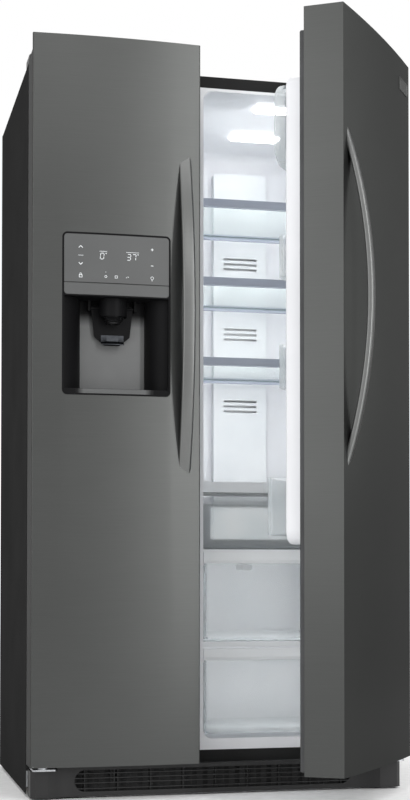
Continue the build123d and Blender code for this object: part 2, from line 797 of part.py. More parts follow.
with BuildPart() as dispenser_paddle:
    with BuildSketch(facing(freezer_door, paddle_axis_y + 2.5)):
        with BuildLine():
            FilletPolyline(
                (chute_x - 50, paddle_axis_z + 6),
                (chute_x + 50, paddle_axis_z + 6),
                (chute_x + 42, paddle_foot + 20),
                (chute_x + 18, paddle_foot),
                (chute_x - 18, paddle_foot),
                (chute_x - 42, paddle_foot + 20),
                radius=6,
                close=True,
            )
        make_face()
    extrude(amount=4.0)
    rod(sideways(freezer_door, chute_x - 50), (paddle_axis_y, paddle_axis_z), 4.5, 100)
    rod(sideways(freezer_door, chute_x - 55), (paddle_axis_y, paddle_axis_z), paddle_pin, 110)
save(dispenser_paddle, "dispenser_paddle")

# ---------------------------------------------------------------- door bins
bin_wall = 2.5
bin_side_gap = 0.4
bin_start = door_back + 1.0
freezer_bin_depth = 80.0
freezer_bins = ((172.0, 112.0), (400.0, 112.0), (630.0, 112.0), (860.0, 100.0), (1440.0, 112.0))
fridge_bins = ((609.5, 128.0, 104.0), (941.0, 97.0, 76.0), (1191.0, 94.0, 76.0))
dairy_high = dyke_top - 12.0
dairy_low = dairy_high - 187.0
dairy_shelf = (dairy_low + 7.0, 110.0, 44.0)


def bin_plan(base, x, y, low, corner):
    """The outline of a bin at a height, with its two corners away from the door rounded."""
    with BuildSketch(level(base, low)) as plan:
        with Locations((sum(x) / 2, sum(y) / 2)):
            Rectangle(x[1] - x[0], y[1] - y[0])
        front = plan.vertices().sort_by(Axis((0, 0, 0), base.y_dir))[-2:]
        fillet(front, corner)
    return plan.sketch


def door_bin(base, x, depth, low, height):
    """One bin: an open tub whose back lies just off the door's inner sheet."""
    y = (bin_start, depth)
    corner = 28.0 if depth > 60 else 8.0
    extrude(to_extrude=bin_plan(base, x, y, low, corner), amount=height)
    inside = (grown(x, -bin_wall), grown(y, -bin_wall))
    hollow = bin_plan(base, *inside, low + bin_wall, corner - bin_wall)
    extrude(to_extrude=hollow, amount=height, mode=Mode.SUBTRACT)


freezer_bin_x = grown(freezer_dyke_x, -dyke_thick - bin_side_gap)
with BuildPart() as freezer_door_bins:
    for low, height in freezer_bins:
        door_bin(freezer_door, freezer_bin_x, freezer_bin_depth, low, height)
save(freezer_door_bins, "freezer_door_bins")

# ---------------------------------------------------------------- fridge door
fridge_dyke_x = (fridge_x[0] + dyke_inset, fridge_x[1] - 15.0)
fridge_dyke_z = (588.0, dyke_top)
fridge_gasket_x = (fridge_span[0] + gasket_free_inset, cabinet_width - gasket_hinge_inset)

fridge_door_skin = door_skin(fridge_door, fridge_span, False)
save(fridge_door_skin, "fridge_door_skin")
fridge_door_caps = door_caps(fridge_door, fridge_span, False)
save(fridge_door_caps, "fridge_door_caps")
fridge_door_foam = door_foam(fridge_door, fridge_span, False)
save(fridge_door_foam, "fridge_door_foam")

lid_wall = 2.5
lid_front = 74.0
lid_corner = 45.0
lid_pin_y = 58.0
lid_pin_z = dairy_high - 11.0
lid_pin_radius = 3.0
lid_ear_inset = 60.0
lid_ear = 6.0
lid_x = grown(fridge_dyke_x, 2.0)
lid_ears = (
    (lid_x[0] + lid_ear_inset, lid_x[0] + lid_ear_inset + lid_ear),
    (lid_x[1] - lid_ear_inset - lid_ear, lid_x[1] - lid_ear_inset),
)
with BuildPart() as fridge_door_liner:
    add(door_liner(fridge_door, fridge_span, fridge_dyke_x, fridge_dyke_z).part)
    for ear in lid_ears:
        block(fridge_door, ear, (dyke_back - 7, lid_pin_y), (lid_pin_z - 6, lid_pin_z + 6))
        rod(sideways(fridge_door, ear[0]), (lid_pin_y, lid_pin_z), 6, lid_ear)
        rod(
            sideways(fridge_door, ear[0]),
            (lid_pin_y, lid_pin_z),
            lid_pin_radius + pin_clearance,
            lid_ear,
            mode=Mode.SUBTRACT,
        )
save(fridge_door_liner, "fridge_door_liner")
fridge_gasket = door_gasket(fridge_door, fridge_gasket_x, gasket_z)
save(fridge_gasket, "fridge_gasket")
fridge_handle = door_handle(fridge_door, fridge_span, fridge_span[0] + handle_edge_distance, 8)
save(fridge_handle, "fridge_handle")

fridge_bin_x = grown(fridge_dyke_x, -dyke_thick - bin_side_gap)
with BuildPart() as fridge_door_bins:
    for low, height, depth in fridge_bins:
        door_bin(fridge_door, fridge_bin_x, depth, low, height)
    low, height, depth = dairy_shelf
    door_bin(fridge_door, fridge_bin_x, depth, low, height)
save(fridge_door_bins, "fridge_door_bins")

with BuildPart() as dairy_lid:
    rounded_panel(fridge_door, lid_x, (dyke_back + running, lid_front), (dairy_low, dairy_high), lid_corner)
    crest = dairy_lid.faces().sort_by(Axis((0, 0, 0), fridge_door.y_dir))[-1].edges()
    fillet(crest, 8.0)
    rounded_panel(
        fridge_door,
        grown(lid_x, -lid_wall),
        (dyke_back - 1, lid_front - lid_wall),
        (dairy_low + lid_wall, dairy_high - lid_wall),
        lid_corner - lid_wall,
        mode=Mode.SUBTRACT,
    )
    behind = (dyke_back, lid_pin_y - 2)
    block(fridge_door, grown(lid_x, 1), behind, (lid_pin_z - 6, dairy_high + 1), mode=Mode.SUBTRACT)
    for ear in lid_ears:
        slot = grown(ear, 0.6)
        for web in ((slot[0] - lid_wall, slot[0]), (slot[1], slot[1] + lid_wall)):
            block(fridge_door, web, (lid_pin_y - 6, lid_front - 1), (lid_pin_z - 8, dairy_high - 1))
        notch = ((dyke_back - 1, lid_pin_y + 8), (lid_pin_z - 12, dairy_high + 1))
        block(fridge_door, slot, *notch, mode=Mode.SUBTRACT)
        pin = grown(slot, lid_wall)
        rod(sideways(fridge_door, pin[0]), (lid_pin_y, lid_pin_z), lid_pin_radius, pin[1] - pin[0])
save(dairy_lid, "dairy_lid")

# ---------------------------------------------------------------- shelves
glass = 4.0
side_gap = 3.0
shelf_x = grown(fridge_x, -side_gap)
trim_depth = 15.0
glass_drop = 1.5

with BuildPart() as shelf_frames:
    for top in shelf_tops:
        rounded_block(cabinet, shelf_x, (shelf_front, shelf_front + trim_depth), (top - shelf_trim, top), 3.0)
        block(cabinet, shelf_x, (shelf_back - 16, shelf_back), (top - 12, top + 3))
        seat = top - glass_drop - glass
        for side in ((shelf_x[0], shelf_x[0] + 14), (shelf_x[1] - 14, shelf_x[1])):
            block(cabinet, side, (shelf_front + 5, shelf_back - 8), (top - shelf_trim + running, seat))
        block(
            cabinet,
            grown(shelf_x, -2.0),
            (shelf_front + 6, shelf_back - 6),
            (seat, top - glass_drop),
            mode=Mode.SUBTRACT,
        )
save(shelf_frames, "shelf_frames")

with BuildPart() as shelf_glass:
    for top in shelf_tops:
        block(
            cabinet,
            grown(shelf_x, -2.2),
            (shelf_front + 6.2, shelf_back - 6.2),
            (top - glass_drop - glass, top - glass_drop),
        )
save(shelf_glass, "shelf_glass")

# ---------------------------------------------------------------- drawers
drawer_wall = 2.5
cover_sheet = 6.0
handle_front = 8.0
handle_rise = 22.0


def drawer(x, y, z, radius):
    """A clear drawer: a tub with a rounded floor edge and a lip along both sides for its ledges."""
    with BuildPart() as tub:
        rounded_block(cabinet, x, y, z, radius)
        floor_edges = tub.edges().group_by(Axis.Z)[0]
        chamfer(floor_edges, 6.0)
        inside = (grown(x, -drawer_wall), grown(y, -drawer_wall))
        rounded_block(cabinet, *inside, (z[0] + 7.0, z[1] + 1), radius - drawer_wall, mode=Mode.SUBTRACT)
        floor_form = (grown(x, -8.0), grown(y, -8.0), (z[0] + drawer_wall, z[0] + 8.0))
        rounded_block(cabinet, *floor_form, radius - 8.0, mode=Mode.SUBTRACT)
        for side in ((x[0] - drawer_lip, x[0] + 1), (x[1] - 1, x[1] + drawer_lip)):
            block(cabinet, side, (y[0] + 12, y[1] - 12), (z[1] - lip_sheet, z[1]))
    return tub


crisper_x = (fridge_x[0] + 9.0, crisper_right - 9.0)
deli_x = grown(fridge_x, -9.0)

crisper_upper = drawer(crisper_x, (crisper_front, upper_crisper_back), upper_crisper, 14.0)
save(crisper_upper, "crisper_upper")
crisper_lower = drawer(crisper_x, (crisper_front, lower_crisper_back), lower_crisper, 14.0)
save(crisper_lower, "crisper_lower")
deli_drawer = drawer(deli_x, (deli_front, shelf_back - 10.0), deli_z, 14.0)
save(deli_drawer, "deli_drawer")

trim_x = (fridge_x[0] + 3.0, crisper_right - 3.0)
for name, low in (("upper", upper_crisper[1]), ("lower", lower_crisper[1])):
    with BuildPart() as crisper_trim:
        with BuildSketch(sideways(cabinet, trim_x[0])):
            with BuildLine():
                FilletPolyline(
                    (handle_front + 3, low - 6),
                    (crisper_front - 0.3, low - 6),
                    (crisper_front - 0.3, low + 0.3),
                    (crisper_front + 24, low + 0.3),
                    (crisper_front + 24, low + 5),
                    (crisper_front + 14, low + handle_rise),
                    (handle_front, low + handle_rise),
                    (handle_front, low + 2),
                    radius=0.8,
                    close=True,
                )
            make_face()
        extrude(amount=trim_x[1] - trim_x[0])
        block(
            cabinet,
            (trim_x[0] + 60, trim_x[1] - 60),
            (crisper_front - 4, crisper_front + 10),
            (low + 8, low + handle_rise + 1),
            mode=Mode.SUBTRACT,
        )
    save(crisper_trim, f"crisper_{name}_trim")

slider_x = (fridge_x[0] + 84.0, fridge_x[0] + 124.0)
slider_z = (upper_crisper[1] - 22.0, upper_crisper[1] - 9.0)
slider_sheet = 3.0
with BuildPart() as humidity_slider:
    slider_back = crisper_front - running
    rounded_panel(cabinet, slider_x, (slider_back - slider_sheet, slider_back), slider_z, 3.0)
    grip = (slider_back - 2 * slider_sheet, slider_back - slider_sheet)
    rounded_panel(cabinet, grown(slider_x, -15.0), grip, slider_z, 2.0)
save(humidity_slider, "humidity_slider")

support_x = (crisper_right, fridge_x[1])
support_z = (opening_bottom, crisper_top - cover_sheet)
divider_z = (lower_crisper[1] + handle_rise + 4, upper_crisper[0] - 4)
with BuildPart() as drawer_covers:
    block(cabinet, fridge_x, (crisper_front - 4, liner_depth), (crisper_top - cover_sheet, crisper_top))
    block(cabinet, support_x, (crisper_front - 4, lower_crisper_back), support_z)
    hollow = (grown(support_x, -3), (crisper_front - 1, lower_crisper_back + 1), grown(support_z, -3))
    block(cabinet, *hollow, mode=Mode.SUBTRACT)
    block(cabinet, (fridge_x[0], crisper_right), (crisper_front + 2, hump_front - 10), divider_z)
    for ledge_top, ledge_back in crisper_ledges:
        ledge_z = (ledge_top - rail_height, ledge_top)
        ledge_x = (crisper_right - rail_reach, crisper_right)
        block(cabinet, ledge_x, (crisper_front + 12, lower_crisper_back), ledge_z)
    deli_cover_x = grown(fridge_x, -side_gap)
    cover_seat = deli_top - glass - glass_drop
    rounded_block(cabinet, deli_cover_x, (deli_front - 12, deli_front + 10), (deli_top - 26, deli_top), 4.0)
    block(cabinet, deli_cover_x, (deli_front, shelf_back), (deli_top - deli_cover_side + running, deli_top))
    block(
        cabinet,
        grown(deli_cover_x, -16),
        (deli_front + 24, shelf_back - 20),
        (deli_top - deli_cover_side - 1, deli_top + 1),
        mode=Mode.SUBTRACT,
    )
    pane_y = (deli_front + 23, shelf_back - 19)
    block(cabinet, grown(deli_cover_x, -15), pane_y, (cover_seat, deli_top - glass_drop))
    add(liner_form(fridge_x, -running), mode=Mode.INTERSECT)
save(drawer_covers, "drawer_covers")

# ---------------------------------------------------------------- fresh food: light and air
light_size = (134.0, 50.0)
light_ys = (122.0, 400.0)
light_drop = 6.0
fridge_middle = sum(fridge_x) / 2
with BuildPart() as ceiling_light_lenses:
    for light_y in light_ys:
        rounded_block(
            cabinet,
            grown((fridge_middle, fridge_middle), light_size[0] / 2),
            grown((light_y, light_y), light_size[1] / 2),
            (opening_top - light_drop, opening_top),
            12.0,
        )
    brims = ceiling_light_lenses.edges().group_by(Axis.Z)[0]
    chamfer(brims, 3.0)
save(ceiling_light_lenses, "ceiling_light_lenses")

duct_width = 150.0
duct_z = (620.0, opening_top - 60.0)
duct_depth = 26.0
duct_sheet = 2.5
with BuildPart() as fridge_duct_cover:
    duct_x = grown((fridge_middle, fridge_middle), duct_width / 2)
    rounded_panel(cabinet, duct_x, (liner_depth - duct_depth, liner_depth), duct_z, 10.0)
    rounded_panel(
        cabinet,
        grown(duct_x, -duct_sheet),
        (liner_depth - duct_depth + duct_sheet, liner_depth + 1),
        grown(duct_z, -duct_sheet),
        8.0,
        mode=Mode.SUBTRACT,
    )
    for top in shelf_tops:
        for step in range(3):
            slot_z = top - 60.0 - 14.0 * step
            rounded_panel(
                cabinet,
                grown(duct_x, -28),
                (liner_depth - duct_depth - 1, liner_depth - duct_depth + 3),
                (slot_z, slot_z + 6),
                2.9,
                mode=Mode.SUBTRACT,
            )
save(fridge_duct_cover, "fridge_duct_cover")

# ---------------------------------------------------------------- freezer: shelves and ice
freezer_middle = sum(freezer_x) / 2
freezer_shelf_x = grown(freezer_x, -side_gap)
basket_x = grown(freezer_x, -10.0)
basket_height = 150.0
baskets = ((hump_top + 15.0, freezer_shelf_back + 2.0), (opening_bottom + 14.0, hump_front - 10.0))
basket_front = 90.0
basket_wall = 3.0
basket_corner = 7.0
frame_bar = 12.0
bars = 9

with BuildPart() as freezer_shelves:
    inner_x = grown(freezer_shelf_x, -frame_bar)
    inner_y = (freezer_shelf_front + frame_bar, freezer_shelf_back - 10.0)
    pitch = (inner_x[1] - inner_x[0]) / (bars + 1)
    for top in freezer_shelf_tops:
        low = top - freezer_shelf_sheet + running
        block(cabinet, freezer_shelf_x, (freezer_shelf_front, freezer_shelf_back), (low, top))
        block(cabinet, inner_x, inner_y, (low - 1, top + 1), mode=Mode.SUBTRACT)
        for bar in range(bars):
            bar_x = inner_x[0] + pitch * (bar + 1)
            block(cabinet, grown((bar_x, bar_x), 2.0), grown(inner_y, 1), (top - 6, top - 2))
        block(cabinet, grown(inner_x, 1), (308, 314), (top - 9, top - 5))
save(freezer_shelves, "freezer_shelves")

with BuildPart() as freezer_baskets:
    for low, back in baskets:
        high = low + basket_height
        depth = (basket_front, back)
        rounded_block(cabinet, basket_x, depth, (low, high), basket_corner)
        inside = (grown(basket_x, -basket_wall), grown(depth, -basket_wall), (low + basket_wall, high + 1))
        rounded_block(cabinet, *inside, basket_corner - basket_wall, mode=Mode.SUBTRACT)
        for step in range(4):
            slot_z = low + 24.0 + 26.0 * step
            rounded_panel(
                cabinet,
                grown(basket_x, -34),
                (basket_front - 1, basket_front + 4),
                (slot_z, slot_z + 12),
                2.0,
                mode=Mode.SUBTRACT,
            )
        for side in ((freezer_x[0] + running, basket_x[0] + 1), (basket_x[1] - 1, freezer_x[1] - running)):
            block(cabinet, side, (basket_front + 18, back - 18), (high - 22, high - 16))
save(freezer_baskets, "freezer_baskets")

ice_front = 104.0
ice_x = (freezer_x[0] + 14.0, freezer_x[1] - 14.0)
bin_z = (ice_floor, ice_floor + 158.0)
auger_z = ice_floor + 46.0
auger_x = chute_x
auger_radius = 30.0
auger_shaft = 6.0
drive_y = (evaporator_front - 88.0, evaporator_front - 20.0)
auger_end = drive_y[0] + 10.0
tub_wall = 3.0
bin_back = drive_y[0] - 12.0

with BuildPart() as ice_bin:
    block(cabinet, grown(freezer_x, -running), (ice_front, drive_y[1]), (ice_floor - 10, ice_floor))
    bin_y = (ice_front, bin_back)
    rounded_block(cabinet, ice_x, bin_y, bin_z, 18.0)
    tub_z = (ice_floor + tub_wall, bin_z[1] + 1)
    tub = (grown(ice_x, -tub_wall), grown(bin_y, -tub_wall), tub_z)
    rounded_block(cabinet, *tub, 18.0 - tub_wall, mode=Mode.SUBTRACT)
    block(
        cabinet,
        grown((auger_x, auger_x), 34),
        (ice_front + 3, ice_front + 56),
        (ice_floor - 11, ice_floor + 4),
        mode=Mode.SUBTRACT,
    )
    rod(facing(cabinet, bin_back + 1), (auger_x, auger_z), auger_shaft + pin_clearance, 5, mode=Mode.SUBTRACT)
save(ice_bin, "ice_bin")

maker_y = (150.0, 430.0)
maker_z = (opening_top - 140.0, opening_top - 60.0)
cups = 7
cup_pitch = 37.0
with BuildPart() as ice_maker:
    rounded_block(cabinet, (freezer_x[0] + 20, freezer_x[1] - 40), maker_y, maker_z, 12.0)
    tray = (freezer_x[0] + 30, freezer_x[1] - 100)
    block(cabinet, tray, grown(maker_y, -15), (maker_z[0] + 40, maker_z[1] + 1), mode=Mode.SUBTRACT)
    for cup in range(cups):
        cup_plane = facing(cabinet, maker_y[0] + 60.0 + cup_pitch * cup)
        rod(cup_plane, (freezer_x[0] + 100, maker_z[0] + 42), 30, cup_pitch - 5, mode=Mode.SUBTRACT)
    side_arm = (freezer_x[0] + running, freezer_x[0] + 20)
    block(cabinet, side_arm, grown(maker_y, -20), (maker_z[0] + 40, maker_z[0] + 70))
    block(cabinet, grown((auger_x, auger_x), 74), drive_y, (ice_floor, auger_z + 52))
    socket = facing(cabinet, auger_end + 2)
    rod(socket, (auger_x, auger_z), auger_shaft + pin_clearance, 20, mode=Mode.SUBTRACT)
save(ice_maker, "ice_maker")

turns = 5
blade_pitch = 52.0
blade_lean = 0.35
with BuildPart() as ice_auger:
    rod(facing(cabinet, auger_end), (auger_x, auger_z), auger_shaft, auger_end - ice_front - 20)
    for turn in range(turns):
        middle = cabinet.from_local_coords((auger_x, bin_back - 40.0 - blade_pitch * turn, auger_z))
        rod(Plane(origin=middle, x_dir=(1, 0, 0), z_dir=(0, -1, blade_lean)), (0, 0), auger_radius, 4.0)
save(ice_auger, "ice_auger")

# ---------------------------------------------------------------- freezer: cold air
coil_wall = 2.0
coil_pitch = 12.0
coil_web = 4.0
bend_reach = 10.0


def pipe(points, radius):
    """A bent tube through points of the cabinet, as straight runs that meet at its corners."""
    for start, end in zip(points, points[1:]):
        first, last = cabinet.from_local_coords(start), cabinet.from_local_coords(end)
        with BuildSketch(Plane(origin=first, z_dir=last - first)) as section:
            Circle(radius)
        overrun = 0 if end is points[-1] else radius
        extrude(to_extrude=section.sketch, amount=(last - first).length + overrun)


def finned_coil(x, y, z, rows, radius):
    """A finned coil: a pack of upright fins on a web, and the tubes' return bends at its ends.

    rows are the (y, z) places of the tubes in order; each bend joins a tube to the next one.
    """
    block(cabinet, x, y, z)
    fins = int((x[1] - x[0]) / coil_pitch)
    pitch = (x[1] - x[0] - coil_wall) / fins
    for fin in range(fins):
        gap = (x[0] + coil_wall + fin * pitch, x[0] + (fin + 1) * pitch)
        block(cabinet, gap, (y[0] - 1, y[1] - coil_web), (z[0] - 1, z[1] + 1), mode=Mode.SUBTRACT)
    for index in range(len(rows) - 1):
        end, reach = (x[1], bend_reach) if index % 2 == 0 else (x[0], -bend_reach)
        first, second = rows[index], rows[index + 1]
        with BuildLine(cabinet) as route:
            Polyline((end, *first), (end + reach, *first), (end + reach, *second), (end, *second))
        with BuildSketch(sideways(cabinet, end)) as tube:
            with Locations(first):
                Circle(radius)
        sweep(sections=tube.sketch, path=route.line, transition=Transition.RIGHT)


coil_x = (freezer_x[0] + 51.0, freezer_x[1] - 51.0)
coil_y = (liner_depth - 37.5, liner_depth - 13.5)
coil_z = (hump_top + 70.0, hump_top + 614.0)
coil_rows = [(sum(coil_y) / 2, coil_z[0] + 20.0 + 72.0 * row) for row in range(8)]
with BuildPart() as evaporator:
    finned_coil(coil_x, coil_y, coil_z, coil_rows, 4.0)
    for foot in ((coil_x[0], coil_x[0] + 8.0), (coil_x[1] - 8.0, coil_x[1])):
        for foot_low in (coil_z[0] + 100.0, coil_z[0] + 420.0):
            block(cabinet, foot, (coil_y[1] - 1, liner_depth), (foot_low, foot_low + 20))
save(evaporator, "evaporator")

evaporator_fan_at = (freezer_middle, ice_floor - 202.0)
fan_front = liner_depth - 45.5
grille_half = 52.0
intake_slots = 9
intake_z = (hump_top + 16.0, hump_top + 60.0)
with BuildPart() as evaporator_cover:
    cover_low = hump_top + running
    block(cabinet, freezer_x, (evaporator_front, liner_depth), (cover_low, ice_floor - 16))
    block(
        cabinet,
        grown(freezer_x, -4),
        (evaporator_front + 3, liner_depth + 1),
        (cover_low + 3, ice_floor - 19),
        mode=Mode.SUBTRACT,
    )
    for slot in range(7):
        slot_z = evaporator_fan_at[1] - 45.0 + 14.0 * slot
        rounded_panel(
            cabinet,
            grown((freezer_middle, freezer_middle), grille_half),
            (evaporator_front - 1, evaporator_front + 4),
            (slot_z, slot_z + 7),
            3.4,
            mode=Mode.SUBTRACT,
        )
    front_sheet = (evaporator_front - 1, evaporator_front + 4)
    for slot in range(intake_slots):
        slot_x = freezer_x[0] + 60.0 + 26.0 * slot
        block(cabinet, (slot_x, slot_x + 10), front_sheet, intake_z, mode=Mode.SUBTRACT)
    add(liner_form(freezer_x, -running), mode=Mode.INTERSECT)
save(evaporator_cover, "evaporator_cover")


def fan(plane, at, reach, hub, depth, blades, shaft):
    """A small axial fan: pitched blades on a hub that is bored for its motor's shaft."""
    centre = plane * Location((at[0], at[1], 0))
    for blade in range(blades):
        turned = centre * Location((0, 0, 0), (0, 0, blade * 360 / blades))
        pitched = turned * Location(((hub + reach) / 2 - 1, 0, depth / 2), (32, 0, 0))
        with Locations(pitched):
            Box(reach - hub + 2, depth * 1.5, 1.8)
    rod(plane, at, hub, depth)
    rod(plane, at, shaft + pin_clearance, depth - 2, mode=Mode.SUBTRACT)


shaft = 3.0
with BuildPart() as evaporator_fan:
    fan(facing(cabinet, fan_front + 14), evaporator_fan_at, 48.0, 14.0, 14.0, 5, shaft)
save(evaporator_fan, "evaporator_fan")

# ---------------------------------------------------------------- machine compartment
floor_top = pan_floor + pan_sheet
condenser_x = (440.0, cabinet_width - 225.0)
condenser_y = (cabinet_depth - 197.0, cabinet_depth - 33.0)
condenser_z = (76.0, 172.0)
row_heights = (96.0, 150.0, 96.0, 150.0, 96.0)
condenser_rows = [(condenser_y[0] + 14.0 + 34.0 * row, height) for row, height in enumerate(row_heights)]
compressor_at = (196.0, cabinet_depth - 123.0)
compressor_radius = 74.0
shroud_x = 352.0
shroud_y = (cabinet_depth - 203.0, cabinet_depth - 43.0)
condenser_fan_at = (sum(shroud_y) / 2, 128.0)
shroud_hole = 66.0

with BuildPart() as fan_motors:
    rod(facing(cabinet, liner_depth), evaporator_fan_at, 20, liner_depth - fan_front - 18)
    rod(facing(cabinet, liner_depth), evaporator_fan_at, shaft, liner_depth - fan_front - 3)
    block(
        cabinet,
        grown((freezer_middle, freezer_middle), 34),
        (liner_depth - 8, liner_depth),
        grown((evaporator_fan_at[1], evaporator_fan_at[1]), 6),
    )
    block(cabinet, (shroud_x, shroud_x + 3), shroud_y, (floor_top, 214))
    rod(sideways(cabinet, shroud_x - 1), condenser_fan_at, shroud_hole, 5, mode=Mode.SUBTRACT)
    block(cabinet, (shroud_x, shroud_x + 20), shroud_y, (floor_top, floor_top + 2))
    for arm in range(3):
        turned = Location((*condenser_fan_at, 0), (0, 0, 90 + arm * 120))
        with Locations(sideways(cabinet, shroud_x + 1.5) * turned):
            Box(shroud_hole + 4, 8, 3, align=(Align.MIN, Align.CENTER, Align.CENTER))
    rod(sideways(cabinet, shroud_x), condenser_fan_at, 24, 34)
    rod(sideways(cabinet, shroud_x - 17), condenser_fan_at, shaft, 20)
save(fan_motors, "fan_motors")

with BuildPart() as condenser_fan:
    fan_plane = Plane(
        origin=cabinet.from_local_coords((shroud_x - 4, condenser_fan_at[0], condenser_fan_at[1])),
        x_dir=(0, 1, 0),
        z_dir=(-1, 0, 0),
    )
    fan(fan_plane, (0, 0), 62.0, 16.0, 16.0, 5, shaft)
save(condenser_fan, "condenser_fan")

shell_low = 48.0
shell_high = 186.0
seam_z = (112.0, 117.0)
seam_proud = 2.5
with BuildPart() as compressor:
    with BuildSketch(facing(cabinet, compressor_at[1])) as profile:
        with BuildLine():
            side = compressor_at[0] + compressor_radius
            Polyline(
                (compressor_at[0], shell_low),
                (side - 22, shell_low),
                (side - 6, shell_low + 7),
                (side, shell_low + 22),
                (side, seam_z[0]),
                (side + seam_proud, seam_z[0]),
                (side + seam_proud, seam_z[1]),
                (side, seam_z[1]),
                (side, shell_high - 40),
                (side - 5, shell_high - 20),
                (side - 20, shell_high - 5),
                (side - 40, shell_high),
                (compressor_at[0], shell_high),
                close=True,
            )
        make_face()
    revolve(profiles=profile.sketch, axis=Axis(cabinet.from_local_coords((*compressor_at, 0)), (0, 0, 1)))
    rounded_block(
        cabinet,
        grown((compressor_at[0], compressor_at[0]), 96),
        grown((compressor_at[1], compressor_at[1]), 66),
        (44, 50),
        14.0,
    )
    for foot_x in grown((compressor_at[0], compressor_at[0]), 82):
        for foot_y in grown((compressor_at[1], compressor_at[1]), 52):
            rod(level(cabinet, floor_top), (foot_x, foot_y), 12, 44 - floor_top)
    block(
        cabinet,
        (compressor_at[0] - 26, compressor_at[0] + 26),
        (compressor_at[1] + 60, compressor_at[1] + 98),
        (84, 150),
    )
    stub = (condenser_x[0] - 20.0, *condenser_rows[0])
    pipe_y = condenser_y[0] - 24.0
    discharge = (
        (compressor_at[0] + 60, compressor_at[1] - 40, stub[2]),
        (compressor_at[0] + 60, pipe_y, stub[2]),
        (stub[0] - 20, pipe_y, stub[2]),
        (stub[0] - 20, stub[1], stub[2]),
        (stub[0] - running, stub[1], stub[2]),
    )
    pipe(discharge, 3.2)
    rod(level(cabinet, 130), (compressor_at[0] - 30, compressor_at[1] - 50), 5, machine_top - 130)
save(compressor, "compressor")

with BuildPart() as condenser:
    finned_coil(condenser_x, condenser_y, condenser_z, condenser_rows, 4.0)
    for plate in ((condenser_x[0], condenser_x[0] + coil_wall), (condenser_x[1] - coil_wall, condenser_x[1])):
        block(cabinet, plate, condenser_y, (floor_top, condenser_z[0] + 4.0))
    rod(sideways(cabinet, condenser_x[0] - 20.0), condenser_rows[0], 4.0, 20)
save(condenser, "condenser")

with BuildPart() as drain_pan:
    pan_x = grown(condenser_x, -6)
    pan_y = (condenser_y[0] - 10.0, condenser_y[1] + 14.0)
    rounded_block(cabinet, pan_x, pan_y, (floor_top, 62), 12.0)
    rounded_block(cabinet, grown(pan_x, -2), grown(pan_y, -2), (floor_top + 2, 63), 10.0, mode=Mode.SUBTRACT)
save(drain_pan, "drain_pan")

valve_at = (cabinet_width - 85.0, 190.0)
gland_at = (86.0, 120.0)
vent_pitch = 20.0
vent_width = 8.0
vent_ends = (150.0, cabinet_width - 207.0)
vents = int((cabinet_width - 435.0) / 2 / vent_pitch)
cover_z = (pan_floor + 4, machine_top - 1)
with BuildPart() as machine_cover:
    block(cabinet, (sheet, cabinet_width - sheet), (cabinet_depth, cabinet_depth + sheet), cover_z)
    lip_y = (cabinet_depth - 8, cabinet_depth)
    block(cabinet, (sheet, cabinet_width - sheet), lip_y, (cover_z[0], cover_z[0] + sheet))
    group_width = vent_pitch * (vents - 1) + vent_width
    for group_x in (vent_ends[0], vent_ends[1] - group_width):
        for slot in range(vents):
            slot_x = group_x + vent_pitch * slot
            slot_y = (cabinet_depth - 1, cabinet_depth + sheet + 1)
            block(cabinet, (slot_x, slot_x + vent_width), slot_y, (84, 200), mode=Mode.SUBTRACT)
    rod(facing(cabinet, cabinet_depth + 5), valve_at, 14, 10, mode=Mode.SUBTRACT)
    rod(facing(cabinet, cabinet_depth + 5), gland_at, 8 + running, 10, mode=Mode.SUBTRACT)
save(machine_cover, "machine_cover")

inlet_radius = 8.0
valve_y = (cabinet_depth - 63.0, cabinet_depth - 19.0)
with BuildPart() as water_valve:
    body_x = grown((valve_at[0], valve_at[0]), 20.0)
    plate_x = grown((valve_at[0], valve_at[0]), 30.0)
    block(cabinet, body_x, valve_y, grown((valve_at[1], valve_at[1]), 18.0))
    rod(facing(cabinet, cabinet_depth + 8), valve_at, inlet_radius + 4.5, 28)
    rod(facing(cabinet, cabinet_depth + 9), valve_at, inlet_radius, 24, mode=Mode.SUBTRACT)
    for solenoid_x in grown((valve_at[0], valve_at[0]), 10):
        rod(level(cabinet, valve_at[1] + 18), (solenoid_x, valve_y[0] + 20), 9, 26)
    for outlet_x in grown((valve_at[0], valve_at[0]), 9):
        rod(facing(cabinet, valve_y[0] + 1), (outlet_x, valve_at[1]), 4, 16)
    block(cabinet, plate_x, (valve_y[1] - 3, valve_y[1]), (valve_at[1] - 24, valve_at[1] + 50))
    for ear in ((plate_x[0], plate_x[0] + 8), (plate_x[1] - 8, plate_x[1])):
        block(cabinet, ear, (valve_y[1], cabinet_depth), (valve_at[1] - 24, valve_at[1] - 10))
save(water_valve, "water_valve")

with BuildPart() as power_inlet:
    rod(facing(cabinet, cabinet_depth + 16), gland_at, 8, 34)
    rod(facing(cabinet, cabinet_depth + sheet + 4), gland_at, 12, 4)
    rod(facing(cabinet, cabinet_depth), gland_at, 12, 4)
    rod(facing(cabinet, cabinet_depth + 17), gland_at, 4.5, 36, mode=Mode.SUBTRACT)
    brims = power_inlet.edges().filter_by(GeomType.CIRCLE).group_by(Axis.Y)[-1]
    chamfer(brims.group_by(SortBy.LENGTH)[-1], 1.5)
save(power_inlet, "power_inlet")

# ---------------------------------------------------------------- toe grille
grille_x = (5.0, cabinet_width - 12.0)
grille_z = (4.0, 74.0)
grille_sheet = 3.0
leg_face = -66.0
louvre_face = -52.0
louvre_x = (108.0, cabinet_width - 136.0)
louvre_z = (15.0, 65.0)
louvre_zs = (22.0, 35.0, 46.0, 57.0)
leg_reach = (45.0, cabinet_width - 65.0)
grille_ribs = 9
grille_arms = (louvre_x[0] + 92.0, louvre_x[1] - 89.0)


